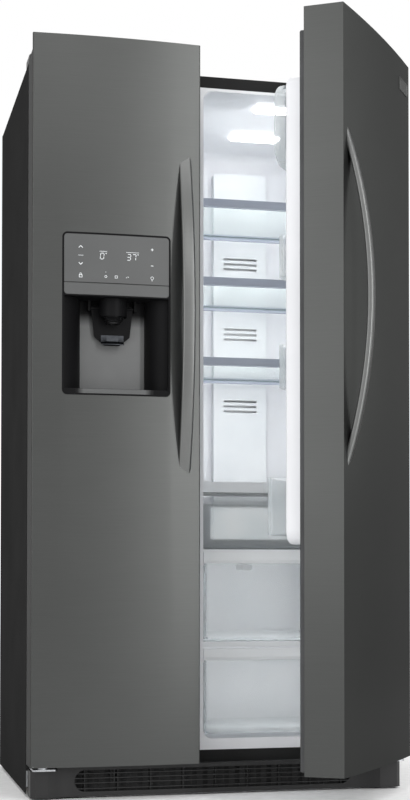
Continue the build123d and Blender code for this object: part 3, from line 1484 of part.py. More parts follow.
def grille_outline(inset, back):
    """The grille seen from above: two full leg covers that scoop back to the louvres."""
    left, right = grille_x[0] + inset, grille_x[1] - inset
    with BuildSketch(level(cabinet, grille_z[0])) as outline:
        with BuildLine():
            Polyline(
                (leg_reach[0], leg_face + inset),
                (left + 10, leg_face + inset),
                (left, leg_face + inset + 10),
                (left, back),
                (right, back),
                (right, leg_face + inset + 10),
                (right - 10, leg_face + inset),
                (leg_reach[1], leg_face + inset),
            )
            Spline(
                (leg_reach[1], leg_face + inset),
                (louvre_x[1] + 6, louvre_face + inset),
                tangents=((-1, 0.3), (-1, 0)),
            )
            Line((louvre_x[1] + 6, louvre_face + inset), (louvre_x[0] - 6, louvre_face + inset))
            Spline(
                (louvre_x[0] - 6, louvre_face + inset),
                (leg_reach[0], leg_face + inset),
                tangents=((-1, 0), (-1, -0.3)),
            )
        make_face()
    return outline.sketch


with BuildPart() as toe_grille:
    extrude(to_extrude=grille_outline(0, -running), amount=grille_z[1] - grille_z[0])
    with BuildPart(mode=Mode.PRIVATE) as behind:
        extrude(to_extrude=grille_outline(grille_sheet, 0), amount=grille_z[1] - grille_z[0] - grille_sheet)
    add(behind.part, mode=Mode.SUBTRACT)
    roof = (grille_z[1] - grille_sheet - 1, grille_z[1] + 1)
    block(cabinet, grille_x, (louvre_face + 22, 0), roof, mode=Mode.SUBTRACT)
    front_sheet = (louvre_face - 1, louvre_face + grille_sheet + 1)
    rounded_panel(cabinet, louvre_x, front_sheet, louvre_z, 24.0, mode=Mode.SUBTRACT)
    for bar_z in louvre_zs:
        block(cabinet, grown(louvre_x, -1), (louvre_face, louvre_face + 9), grown((bar_z, bar_z), 1.1))
    rib_pitch = (louvre_x[1] - louvre_x[0] - 47.0) / (grille_ribs - 1)
    for rib in range(grille_ribs):
        rib_x = louvre_x[0] + 23.0 + rib_pitch * rib
        block(cabinet, (rib_x, rib_x + 2), (louvre_face + 5, louvre_face + 14), grown(louvre_z, 2))
    for arm_x in grille_arms:
        block(cabinet, (arm_x, arm_x + 3), (louvre_face + 5, -running), (36, 70))
        block(cabinet, (arm_x, arm_x + 12), (-running - 3, -running), (36, 60))
    bracket_z = (bracket_top - bracket_sheet - 2, grille_z[1] + 1)
    for bracket_x in ((0.0, 66.0), (cabinet_width - 66.0, cabinet_width)):
        block(cabinet, bracket_x, (leg_face - 1, 1), bracket_z, mode=Mode.SUBTRACT)
save(toe_grille, "toe_grille")
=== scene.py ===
"""Looks of a side by side refrigerator: its finishes, fine parts, lights and camera.

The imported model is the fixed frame. Every class below is one sub-assembly of the product. It
dresses the frame's nodes with their finishes and adds the pieces that are too fine for the frame.
All lengths are in metres unless a name ends in _mm.
"""
from __future__ import annotations

import logging
import math
from dataclasses import dataclass, field
from enum import Enum
from typing import Any

import bmesh
import bpy
from mathutils import Matrix, Vector

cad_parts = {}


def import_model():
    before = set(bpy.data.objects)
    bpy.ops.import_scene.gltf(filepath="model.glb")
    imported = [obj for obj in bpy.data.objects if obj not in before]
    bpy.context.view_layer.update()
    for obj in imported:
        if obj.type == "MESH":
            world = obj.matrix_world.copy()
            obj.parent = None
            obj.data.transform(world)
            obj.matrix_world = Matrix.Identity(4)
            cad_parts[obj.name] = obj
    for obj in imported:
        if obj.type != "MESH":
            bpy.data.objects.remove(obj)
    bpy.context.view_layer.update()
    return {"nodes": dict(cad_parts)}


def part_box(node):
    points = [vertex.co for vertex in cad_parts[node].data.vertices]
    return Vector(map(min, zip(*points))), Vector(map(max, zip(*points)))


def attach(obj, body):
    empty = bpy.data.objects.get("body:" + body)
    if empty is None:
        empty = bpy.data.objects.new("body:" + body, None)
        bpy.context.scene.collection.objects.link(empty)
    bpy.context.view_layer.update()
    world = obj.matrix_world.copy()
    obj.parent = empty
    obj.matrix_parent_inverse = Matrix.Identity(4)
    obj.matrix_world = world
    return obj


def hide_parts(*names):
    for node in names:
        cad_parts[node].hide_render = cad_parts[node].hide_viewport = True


LOG = logging.getLogger("refrigerator")
MM = 0.001
FRAME_SHARP_DEGREES = 32.0


# ---------------------------------------------------------------- small tools
class Node(Enum):
    """The kinds of shader node that the finishes are made of."""

    PLACE = "ShaderNodeTexCoord"
    STRETCH = "ShaderNodeMapping"
    NOISE = "ShaderNodeTexNoise"
    CELLS = "ShaderNodeTexVoronoi"
    FACING = "ShaderNodeNewGeometry"
    SLANT = "ShaderNodeLayerWeight"
    SPLIT = "ShaderNodeSeparateXYZ"
    GREY = "ShaderNodeRGBToBW"
    MATH = "ShaderNodeMath"
    RANGE = "ShaderNodeMapRange"
    RAMP = "ShaderNodeValToRGB"
    MIX = "ShaderNodeMix"
    BUMP = "ShaderNodeBump"
    SKIN = "ShaderNodeBsdfPrincipled"
    OUTPUT = "ShaderNodeOutputMaterial"
    RAY = "ShaderNodeLightPath"
    SKY = "ShaderNodeBackground"
    MIX_SKIES = "ShaderNodeMixShader"
    SKY_OUTPUT = "ShaderNodeOutputWorld"


def linear(sheet_colour: str) -> tuple[float, float, float, float]:
    """Turns an sRGB hex colour into the linear one that shaders take.

    Args:
        sheet_colour: Six hex digits with a leading hash.

    Returns:
        Linear red, green, blue and an alpha of 1.
    """
    channels = [int(sheet_colour[i : i + 2], 16) / 255 for i in (1, 3, 5)]
    bright = [c / 12.92 if c <= 0.04045 else ((c + 0.055) / 1.055) ** 2.4 for c in channels]
    return (bright[0], bright[1], bright[2], 1.0)


def repeats(size_mm: float) -> float:
    """A pattern's scale: how many of its marks, of a real size, fit in a metre."""
    return 1 / (size_mm * MM)


def add_node(
    tree: bpy.types.NodeTree, kind: Node, settings: dict | None = None, links: dict | None = None
) -> bpy.types.Node:
    """Adds a shader node with its settings and its incoming links.

    Args:
        tree: The node tree that takes the node.
        kind: The node's kind.
        settings: Values by socket name, socket number or property name.
        links: Output sockets by the name or number of the input that they feed.

    Returns:
        The new node.
    """
    node = tree.nodes.new(kind.value)
    for key, value in (settings or {}).items():
        if isinstance(key, int) or key in node.inputs:
            node.inputs[key].default_value = value
        else:
            setattr(node, key, value)
    for key, source in (links or {}).items():
        tree.links.new(source, node.inputs[key])
    return node


def mesh_object(
    name: str, vertices: list, faces: list, smooth_degrees: float = 30.0
) -> bpy.types.Object:
    """Makes a mesh object, welds it and shades it smooth below an angle.

    Args:
        name: The piece's name.
        vertices: Points in metres.
        faces: Tuples of vertex numbers.
        smooth_degrees: Edges flatter than this are shaded smooth.

    Returns:
        The new object, linked to the scene.
    """
    mesh = bpy.data.meshes.new(name)
    mesh.from_pydata([tuple(v) for v in vertices], [], faces)
    form = bmesh.new()
    form.from_mesh(mesh)
    bmesh.ops.remove_doubles(form, verts=form.verts, dist=1e-6)
    bmesh.ops.recalc_face_normals(form, faces=form.faces)
    form.to_mesh(mesh)
    form.free()
    mesh.polygons.foreach_set("use_smooth", [True] * len(mesh.polygons))
    mesh.set_sharp_from_angle(angle=math.radians(smooth_degrees))
    piece = bpy.data.objects.new(name, mesh)
    bpy.context.scene.collection.objects.link(piece)
    return piece


def loft(name: str, loops: list[list[Vector]], smooth_degrees: float = 30.0) -> bpy.types.Object:
    """Skins a closed form through loops of equal length and caps both ends.

    Args:
        name: The piece's name.
        loops: The form's sections, in order.
        smooth_degrees: Edges flatter than this are shaded smooth.

    Returns:
        The new object.
    """
    count = len(loops[0])
    faces = []
    for first in range(0, (len(loops) - 1) * count, count):
        for i in range(count):
            a, b = first + i, first + (i + 1) % count
            faces.append((a, b, b + count, a + count))
    last = (len(loops) - 1) * count
    faces += [tuple(range(count)), tuple(last + i for i in range(count))]
    return mesh_object(name, [point for loop in loops for point in loop], faces, smooth_degrees)


def rounded_outline(
    width: float, height: float, radius: float, steps: int = 5
) -> list[tuple[float, float]]:
    """Draws a rectangle with round corners, centred on the origin.

    Args:
        width: Its size across.
        height: Its size up.
        radius: Its corners' radius.
        steps: Straight runs in each corner.

    Returns:
        Its points, anticlockwise.
    """
    points = []
    for side_x, side_y, start in ((1, 1, 0), (-1, 1, 90), (-1, -1, 180), (1, -1, 270)):
        middle_x, middle_y = side_x * (width / 2 - radius), side_y * (height / 2 - radius)
        for step in range(steps + 1):
            turn = math.radians(start + 90 * step / steps)
            points.append((middle_x + radius * math.cos(turn), middle_y + radius * math.sin(turn)))
    return points


def evenly(low: float, high: float, inset: float, count: int) -> list[float]:
    """Places spaced evenly from low to high, the outer two inset from these ends."""
    return [low + inset + (high - low - 2 * inset) * i / (count - 1) for i in range(count)]


# ---------------------------------------------------------------- finishes
def surface(
    tree: bpy.types.NodeTree,
    tint: tuple[Any, str, str] | None,
    gloss: tuple[Any, float, float] | None = None,
    relief: tuple[Any, float, float] | None = None,
    settings: dict | None = None,
    links: dict | None = None,
    ramp: tuple[float, float] = (0.3, 0.7),
    edge_fade: tuple[Any, str] | None = None,
) -> Any:
    """Lays a finish's patterns on one shader.

    Args:
        tree: The material's node tree.
        tint: The colour's pattern, and the sRGB colours of its low and high places. None where
            the settings give one colour.
        gloss: The roughness's pattern, and the roughness of its low and high places.
        relief: The bump's pattern, its depth in millimetres and its strength.
        settings: Values of the shader's own sockets.
        links: More sources, by the socket of the shader that they feed.
        ramp: The strengths of the colour's pattern at which the two colours are reached.
        edge_fade: A mask, and the sRGB colour that shows where the mask is 0. It fades a plate to
            black towards its edges, which on the cavity's back plate is painted reflection.

    Returns:
        The shader's output socket.
    """
    feeds = dict(links or {})
    if tint:
        pattern, *colours = tint
        stops = add_node(tree, Node.RAMP, links={"Fac": pattern})
        for stop, position, colour in zip(stops.color_ramp.elements, ramp, colours):
            stop.position, stop.color = position, linear(colour)
        feeds["Base Color"] = stops.outputs["Color"]
    if edge_fade:
        mask, faded_black = edge_fade
        layers = {0: mask, 7: feeds["Base Color"]}
        mixed = add_node(tree, Node.MIX, {"data_type": "RGBA", 6: linear(faded_black)}, layers)
        feeds["Base Color"] = mixed.outputs[2]
    if gloss:
        pattern, low, high = gloss
        rough = add_node(tree, Node.RANGE, {"To Min": low, "To Max": high}, {"Value": pattern})
        feeds["Roughness"] = rough.outputs["Result"]
    if relief:
        pattern, depth_mm, strength = relief
        depth = {"Strength": strength, "Distance": depth_mm * MM}
        feeds["Normal"] = add_node(tree, Node.BUMP, depth, {"Height": pattern}).outputs["Normal"]
    return add_node(tree, Node.SKIN, settings, feeds).outputs["BSDF"]


@dataclass(frozen=True)
class Finish:
    """A finish of one real material. Each kind shades its own node tree."""

    name: str

    def material(self) -> bpy.types.Material:
        """Gives the finish's material, which is made the first time it is asked for.

        Returns:
            The material.
        """
        made = bpy.data.materials.get(self.name)
        if made is not None:
            return made
        made = bpy.data.materials.new(self.name)
        made.use_nodes = True
        tree = made.node_tree
        tree.nodes.clear()
        place = add_node(tree, Node.PLACE).outputs["Object"]
        add_node(tree, Node.OUTPUT, links={"Surface": self.shade(tree, place)})
        return made

    def shade(self, tree: bpy.types.NodeTree, place: Any) -> Any:
        """Builds the finish's nodes and gives its shader. Each kind has its own."""
        raise NotImplementedError

    def dress(self, piece: bpy.types.Object) -> None:
        """Gives the whole piece this finish."""
        piece.data.materials.clear()
        piece.data.materials.append(self.material())


@dataclass(frozen=True)
class BrushedSteel(Finish):
    """Ferritic steel sheet, belt brushed along the horizontal under a smoke-tinted clear coat.

    To the eye: a dark neutral metal whose highlights smear upright across very fine level lines.
    The belt leaves lines 0.05 mm apart, so line_mm is drawn coarse enough to just show.
    """

    dark: str = "#494a49"
    light: str = "#505150"
    coat: str = "#5a5a5a"
    line_mm: float = 0.7
    line_length_mm: float = 90.0
    line_depth_mm: float = 0.004
    cloud_mm: float = 333.33
    roughness: tuple[float, float] = (0.28, 0.34)

    def shade(self, tree: bpy.types.NodeTree, place: Any) -> Any:
        """Level brush lines in colour, roughness and relief.

        Args:
            tree: The material's node tree.
            place: The point on the object, in metres.

        Returns:
            The shader's output socket.
        """
        along, across = repeats(self.line_length_mm), repeats(self.line_mm)
        stretched = add_node(
            tree, Node.STRETCH, {"Scale": (along, along, across)}, {"Vector": place}
        ).outputs["Vector"]
        belt = {"Scale": 1.0, "Detail": 3.0, "Roughness": 0.6}
        lines = add_node(tree, Node.NOISE, belt, {"Vector": stretched}).outputs["Fac"]
        slow = {"Scale": repeats(self.cloud_mm), "Detail": 2.0}
        cloud = add_node(tree, Node.NOISE, slow, {"Vector": place}).outputs["Fac"]
        share = add_node(tree, Node.RANGE, {"To Min": 0.0, "To Max": 0.4}, {"Value": cloud})
        mixed = add_node(
            tree,
            Node.MATH,
            {"operation": "MULTIPLY_ADD", 1: 0.6},
            {0: lines, 2: share.outputs["Result"]},
        )
        return surface(
            tree,
            (mixed.outputs[0], self.dark, self.light),
            (lines, *self.roughness),
            (lines, self.line_depth_mm, 0.2),
            {"Metallic": 0.85, "Specular Tint": linear(self.coat), "Anisotropic": 0.4},
        )


@dataclass(frozen=True)
class PaintedSteel(Finish):
    """Pre-coated steel sheet with a baked enamel that dries to a slight orange peel.

    To the eye: an even, nearly black side with a soft sheen broken by a fine ripple.
    """

    dark: str = "#2c2c2c"
    light: str = "#303030"
    peel_mm: float = 2.2
    peel_depth_mm: float = 0.03
    cloud_mm: float = 166.67
    roughness: float = 0.6
    roughness_change: float = 0.05
    gloss: float = 0.0

    def shade(self, tree: bpy.types.NodeTree, place: Any) -> Any:
        """Ripple relief with a faint cloud in the colour.

        Args:
            tree: The material's node tree.
            place: The point on the object, in metres.

        Returns:
            The shader's output socket.
        """
        fine = {"Scale": repeats(self.peel_mm), "Detail": 1.0}
        peel = add_node(tree, Node.NOISE, fine, {"Vector": place}).outputs["Fac"]
        slow = {"Scale": repeats(self.cloud_mm), "Detail": 4.0}
        cloud = add_node(tree, Node.NOISE, slow, {"Vector": place}).outputs["Fac"]
        change = self.roughness_change
        return surface(
            tree,
            (cloud, self.dark, self.light),
            (cloud, self.roughness - change, self.roughness + change),
            (peel, self.peel_depth_mm, 0.6),
            {"Specular IOR Level": self.gloss},
        )


@dataclass(frozen=True)
class MouldedPlastic(Finish):
    """Injection moulded or vacuum formed plastic with a spark-eroded or plain mould surface.

    To the eye: an even colour with a fine grain that softens the highlight.
    """

    dark: str = "#e4e5e8"
    light: str = "#edeef1"
    grain_mm: float = 1.4
    grain_depth_mm: float = 0.02
    flow_mm: float = 200.0
    roughness: tuple[float, float] = (0.26, 0.36)
    gloss: float = 0.5

    def shade(self, tree: bpy.types.NodeTree, place: Any) -> Any:
        """Mould grain in relief, and a slow change of tone.

        Args:
            tree: The material's node tree.
            place: The point on the object, in metres.

        Returns:
            The shader's output socket.
        """
        fine = {"Scale": repeats(self.grain_mm), "Detail": 3.0}
        grain = add_node(tree, Node.NOISE, fine, {"Vector": place}).outputs["Fac"]
        slow = {"Scale": repeats(self.flow_mm), "Detail": 3.0}
        flow = add_node(tree, Node.NOISE, slow, {"Vector": place}).outputs["Fac"]
        return surface(
            tree,
            (flow, self.dark, self.light),
            (grain, *self.roughness),
            (grain, self.grain_depth_mm, 0.7),
            {"Specular IOR Level": self.gloss},
        )


@dataclass(frozen=True)
class EdgeFadedPlate(Finish):
    """Moulded ABS in smoked silver, with its colour faded to black towards its edges. On the
    cavity's back plate this fade is painted reflection of the cavity's dark ceiling and side walls.

    To the eye: a soft grey field that fades to black at its top and sides.
    """

    dark: str = "#6b6c6c"
    light: str = "#727373"
    faded_black: str = "#0d0d0e"
    middle_x: float = 0.1375
    half_full: float = 0.078
    half_faded: float = 0.097
    full_z: float = 1.108
    faded_z: float = 1.134
    flow_mm: float = 111.11
    grain_mm: float = 1.1111
    grain_depth_mm: float = 0.012
    roughness: tuple[float, float] = (0.36, 0.48)

    def shade(self, tree: bpy.types.NodeTree, place: Any) -> Any:
        """The grey field, faded to black towards the edges by the place on the plate, with a fine
        grain.

        Args:
            tree: The material's node tree.
            place: The point on the object, in metres.

        Returns:
            The shader's output socket.
        """
        spot = add_node(tree, Node.SPLIT, links={0: place}).outputs
        across = add_node(
            tree, Node.MATH, {"operation": "SUBTRACT", 1: self.middle_x}, {0: spot["X"]}
        ).outputs[0]
        aside = add_node(tree, Node.MATH, {"operation": "ABSOLUTE"}, {0: across}).outputs[0]
        # The fade to black at the top and sides. On the cavity's back plate it is painted
        # reflection of the dark ceiling and side walls; on the drip tray's front it darkens the
        # band's ends.
        fades = []
        for full, faded_black, along in (
            (self.half_full, self.half_faded, aside),
            (self.full_z, self.faded_z, spot["Z"]),
        ):
            fade = {"From Min": full, "From Max": faded_black, "To Min": 1.0, "To Max": 0.0}
            fades.append(add_node(tree, Node.RANGE, fade, {"Value": along}).outputs["Result"])
        unfaded_share = add_node(tree, Node.MATH, {"operation": "MULTIPLY"}, {0: fades[0], 1: fades[1]})
        slow = {"Scale": repeats(self.flow_mm), "Detail": 3.0}
        flow = add_node(tree, Node.NOISE, slow, {"Vector": place}).outputs["Fac"]
        fine = {"Scale": repeats(self.grain_mm), "Detail": 2.0}
        grain = add_node(tree, Node.NOISE, fine, {"Vector": place}).outputs["Fac"]
        return surface(
            tree,
            (flow, self.dark, self.light),
            (grain, *self.roughness),
            (grain, self.grain_depth_mm, 0.5),
            {"Specular IOR Level": 0.15},
            edge_fade=(unfaded_share.outputs[0], self.faded_black),
        )


@dataclass(frozen=True)
class ClearPlastic(Finish):
    """Clear styrene, injection moulded and polished in the mould.

    To the eye: nearly invisible face on, whiter and brighter where the wall is seen edge on.
    """

    dark: str = "#dfe7ea"
    light: str = "#f6fafb"
    face: float = 0.10
    edge: float = 0.72
    flow_mm: float = 71.429
    roughness: tuple[float, float] = (0.05, 0.12)

    def shade(self, tree: bpy.types.NodeTree, place: Any) -> Any:
        """See-through face on, with faint flow lines in roughness and colour.

        Args:
            tree: The material's node tree.
            place: The point on the object, in metres.

        Returns:
            The shader's output socket.
        """
        weld = {"Scale": repeats(self.flow_mm), "Detail": 2.0, "Distortion": 0.6}
        flow = add_node(tree, Node.NOISE, weld, {"Vector": place}).outputs["Fac"]
        slant = add_node(tree, Node.SLANT, {"Blend": 0.35}).outputs["Facing"]
        ends = {"To Min": self.face, "To Max": self.edge}
        body = add_node(tree, Node.RANGE, ends, {"Value": slant})
        return surface(
            tree,
            (flow, self.dark, self.light),
            (flow, *self.roughness),
            settings={"IOR": 1.57},
            links={"Alpha": body.outputs["Result"]},
        )


@dataclass(frozen=True)
class ShelfGlass(Finish):
    """Tempered soda-lime glass with ground edges.

    To the eye: clear from above with a cool tint, and a deep green-grey along its edges.
    """

    body: str = "#dfeceb"
    edge: str = "#7fa39b"
    wave_mm: float = 111.11
    clear: tuple[float, float] = (0.10, 0.5)
    roughness: tuple[float, float] = (0.03, 0.08)

    def shade(self, tree: bpy.types.NodeTree, place: Any) -> Any:
        """Clear flats and tinted edges, told apart by which way the surface faces.

        Args:
            tree: The material's node tree.
            place: The point on the object, in metres.

        Returns:
            The shader's output socket.
        """
        up = add_node(tree, Node.FACING).outputs["Normal"]
        level = add_node(tree, Node.SPLIT, links={0: up}).outputs["Z"]
        flat = add_node(tree, Node.MATH, {"operation": "ABSOLUTE"}, {0: level}).outputs[0]
        slow = {"Scale": repeats(self.wave_mm), "Detail": 1.0}
        wave = add_node(tree, Node.NOISE, slow, {"Vector": place}).outputs["Fac"]
        slant = add_node(tree, Node.SLANT, {"Blend": 0.25}).outputs["Facing"]
        low, high = self.clear
        clear = add_node(
            tree, Node.RANGE, {"To Min": low, "To Max": high}, {"Value": slant}
        ).outputs["Result"]
        solid = add_node(tree, Node.MATH, {"operation": "SUBTRACT", 0: 1.0}, {1: flat}).outputs[0]
        alpha = add_node(tree, Node.MATH, {"operation": "MAXIMUM"}, {0: clear, 1: solid})
        return surface(
            tree,
            (flat, self.edge, self.body),
            (wave, *self.roughness),
            settings={"IOR": 1.52},
            links={"Alpha": alpha.outputs[0]},
            ramp=(0.4, 0.6),
        )


@dataclass(frozen=True)
class LightLens(Finish):
    """Frosted cover of an interior light, lit from behind by white diodes.

    To the eye: an evenly glowing panel, a little brighter in its middle.
    """

    glow: str = "#fdfdff"
    prism_mm: float = 3.8462
    prism_depth_mm: float = 0.05
    strength: tuple[float, float] = (11.0, 14.0)

    def shade(self, tree: bpy.types.NodeTree, place: Any) -> Any:
        """A glow broken by the diffuser's fine prisms.

        Args:
            tree: The material's node tree.
            place: The point on the object, in metres.

        Returns:
            The shader's output socket.
        """
        fine = {"Scale": repeats(self.prism_mm)}
        prism = add_node(tree, Node.CELLS, fine, {"Vector": place}).outputs["Distance"]
        low, high = self.strength
        power = add_node(tree, Node.RANGE, {"To Min": low, "To Max": high}, {"Value": prism})
        glow = linear(self.glow)
        return surface(
            tree,
            None,
            relief=(prism, self.prism_depth_mm, 0.5),
            settings={"Base Color": glow, "Emission Color": glow, "Roughness": 0.4},
            links={"Emission Strength": power.outputs["Result"]},
        )


@dataclass(frozen=True)
class PrintedMark(Finish):
    """Light of the display's diodes, or screen-printed ink, on the control panel.

    To the eye: a pale figure that stands out of the smoked panel.
    """

    thin_ink: str = "#b9bcbe"
    ink: str = "#e9ecee"
    grit_mm: float = 1.1111
    strength: float = 0.28

    def shade(self, tree: bpy.types.NodeTree, place: Any) -> Any:
        """A pale ink with a slight unevenness in its glow.

        Args:
            tree: The material's node tree.
            place: The point on the object, in metres.

        Returns:
            The shader's output socket.
        """
        fine = {"Scale": repeats(self.grit_mm)}
        grit = add_node(tree, Node.NOISE, fine, {"Vector": place}).outputs["Fac"]
        uneven = {"To Min": 0.7 * self.strength, "To Max": self.strength}
        glow = add_node(tree, Node.RANGE, uneven, {"Value": grit})
        return surface(
            tree,
            (grit, self.thin_ink, self.ink),
            settings={"Emission Color": linear(self.ink), "Roughness": 0.5},
            links={"Emission Strength": glow.outputs["Result"]},
        )


@dataclass(frozen=True)
class GalvanisedSteel(Finish):
    """Hot-dip galvanised sheet.

    To the eye: a dull grey metal with leafy zinc spangles.
    """

    dark: str = "#9c9fa1"
    light: str = "#abaeb0"
    spangle_mm: float = 11.0
    roughness: tuple[float, float] = (0.42, 0.50)

    def shade(self, tree: bpy.types.NodeTree, place: Any) -> Any:
        """Zinc spangles in tone and roughness.

        Args:
            tree: The material's node tree.
            place: The point on the object, in metres.

        Returns:
            The shader's output socket.
        """
        leaf = {"Scale": repeats(self.spangle_mm)}
        leaves = add_node(tree, Node.CELLS, leaf, {"Vector": place}).outputs["Color"]
        grey = add_node(tree, Node.GREY, links={"Color": leaves}).outputs["Val"]
        return surface(
            tree,
            (grey, self.dark, self.light),
            (grey, *self.roughness),
            settings={"Metallic": 0.85},
            ramp=(0.1, 0.9),
        )


@dataclass(frozen=True)
class PlatedSteel(Finish):
    """Zinc-plated or nickel-plated steel, tumbled.

    To the eye: a bright grey metal with small scuffs.
    """

    dark: str = "#9b9da0"
    light: str = "#c3c5c8"
    scuff_mm: float = 6.25
    scuff_depth_mm: float = 0.02
    roughness: tuple[float, float] = (0.25, 0.45)

    def shade(self, tree: bpy.types.NodeTree, place: Any) -> Any:
        """Small scuffs in roughness and tone.

        Args:
            tree: The material's node tree.
            place: The point on the object, in metres.

        Returns:
            The shader's output socket.
        """
        knocks = {"Scale": repeats(self.scuff_mm), "Detail": 5.0, "Roughness": 0.7}
        scuff = add_node(tree, Node.NOISE, knocks, {"Vector": place}).outputs["Fac"]
        return surface(
            tree,
            (scuff, self.dark, self.light),
            (scuff, *self.roughness),
            (scuff, self.scuff_depth_mm, 0.3),
            {"Metallic": 1.0},
        )


@dataclass(frozen=True)
class BlackEnamel(Finish):
    """Black stoving enamel on pressed steel.

    To the eye: a deep gloss black with dust and soft runs.
    """

    dark: str = "#0d0d0e"
    light: str = "#1b1b1c"
    dust_mm: float = 25.0
    run_depth_mm: float = 0.04
    roughness: tuple[float, float] = (0.18, 0.4)

    def shade(self, tree: bpy.types.NodeTree, place: Any) -> Any:
        """Gloss with a dusty bloom.

        Args:
            tree: The material's node tree.
            place: The point on the object, in metres.

        Returns:
            The shader's output socket.
        """
        bloom = {"Scale": repeats(self.dust_mm), "Detail": 6.0, "Roughness": 0.65}
        dust = add_node(tree, Node.NOISE, bloom, {"Vector": place}).outputs["Fac"]
        return surface(
            tree,
            (dust, self.dark, self.light),
            (dust, *self.roughness),
            (dust, self.run_depth_mm, 0.25),
        )


@dataclass(frozen=True)
class RigidFoam(Finish):
    """Polyurethane foam, blown in place.

    To the eye: a pale straw mass with closed cells.
    """

    dark: str = "#cdb683"
    light: str = "#e6d6ab"
    cell_mm: float = 3.0
    cell_depth_mm: float = 0.4

    def shade(self, tree: bpy.types.NodeTree, place: Any) -> Any:
        """Cells in tone and relief.

        Args:
            tree: The material's node tree.
            place: The point on the object, in metres.

        Returns:
            The shader's output socket.
        """
        bubbles = {"Scale": repeats(self.cell_mm)}
        cells = add_node(tree, Node.CELLS, bubbles, {"Vector": place}).outputs["Distance"]
        return surface(
            tree,
            (cells, self.dark, self.light),
            relief=(cells, self.cell_depth_mm, 0.8),
            settings={"Roughness": 0.9},
            ramp=(0.1, 0.6),
        )


@dataclass(frozen=True)
class RolledAluminium(Finish):
    """Thin aluminium fin stock, as rolled.

    To the eye: a bright, slightly satin metal with rolling lines.
    """

    dark: str = "#b3b6b8"
    light: str = "#d5d7d9"
    line_mm: float = 1.1111
    line_length_mm: float = 50.0
    roughness: tuple[float, float] = (0.3, 0.42)

    def shade(self, tree: bpy.types.NodeTree, place: Any) -> Any:
        """Upright rolling lines.

        Args:
            tree: The material's node tree.
            place: The point on the object, in metres.

        Returns:
            The shader's output socket.
        """
        across, along = repeats(self.line_mm), repeats(self.line_length_mm)
        stretched = add_node(
            tree, Node.STRETCH, {"Scale": (across, across, along)}, {"Vector": place}
        ).outputs["Vector"]
        rolls = {"Scale": 1.0, "Detail": 2.0}
        lines = add_node(tree, Node.NOISE, rolls, {"Vector": stretched}).outputs["Fac"]
        return surface(
            tree,
            (lines, self.dark, self.light),
            (lines, *self.roughness),
            settings={"Metallic": 1.0},
        )


@dataclass(frozen=True)
class SealRubber(Finish):
    """Soft extruded vinyl of the door seals.

    To the eye: a matte dark grey with a faint bloom.
    """

    dark: str = "#2f3031"
    light: str = "#3d3e40"
    tooth_mm: float = 2.0
    tooth_depth_mm: float = 0.03
    bloom_mm: float = 83.333
    roughness: tuple[float, float] = (0.5, 0.68)

    def shade(self, tree: bpy.types.NodeTree, place: Any) -> Any:
        """A matte skin with a fine tooth.

        Args:
            tree: The material's node tree.
            place: The point on the object, in metres.

        Returns:
            The shader's output socket.
        """
        fine = {"Scale": repeats(self.tooth_mm), "Detail": 3.0}
        tooth = add_node(tree, Node.NOISE, fine, {"Vector": place}).outputs["Fac"]
        slow = {"Scale": repeats(self.bloom_mm), "Detail": 3.0}
        bloom = add_node(tree, Node.NOISE, slow, {"Vector": place}).outputs["Fac"]
        return surface(
            tree,
            (bloom, self.dark, self.light),
            (tooth, *self.roughness),
            (tooth, self.tooth_depth_mm, 0.5),
        )


@dataclass(frozen=True)
class FloorPaint(Finish):
    """Matte emulsion on the studio's floor.

    To the eye: an even white that keeps a soft shadow.
    """

    dark: str = "#f6f6f6"
    light: str = "#ffffff"
    grit_mm: float = 25.0
    roughness: tuple[float, float] = (0.7, 0.85)

    def shade(self, tree: bpy.types.NodeTree, place: Any) -> Any:
        """A faint unevenness in tone and sheen.

        Args:
            tree: The material's node tree.
            place: The point on the object, in metres.

        Returns:
            The shader's output socket.
        """
        rolled = {"Scale": repeats(self.grit_mm), "Detail": 4.0}
        grit = add_node(tree, Node.NOISE, rolled, {"Vector": place}).outputs["Fac"]
        return surface(
            tree,
            (grit, self.dark, self.light),
            (grit, *self.roughness),
            settings={"Specular IOR Level": 0.1},
        )


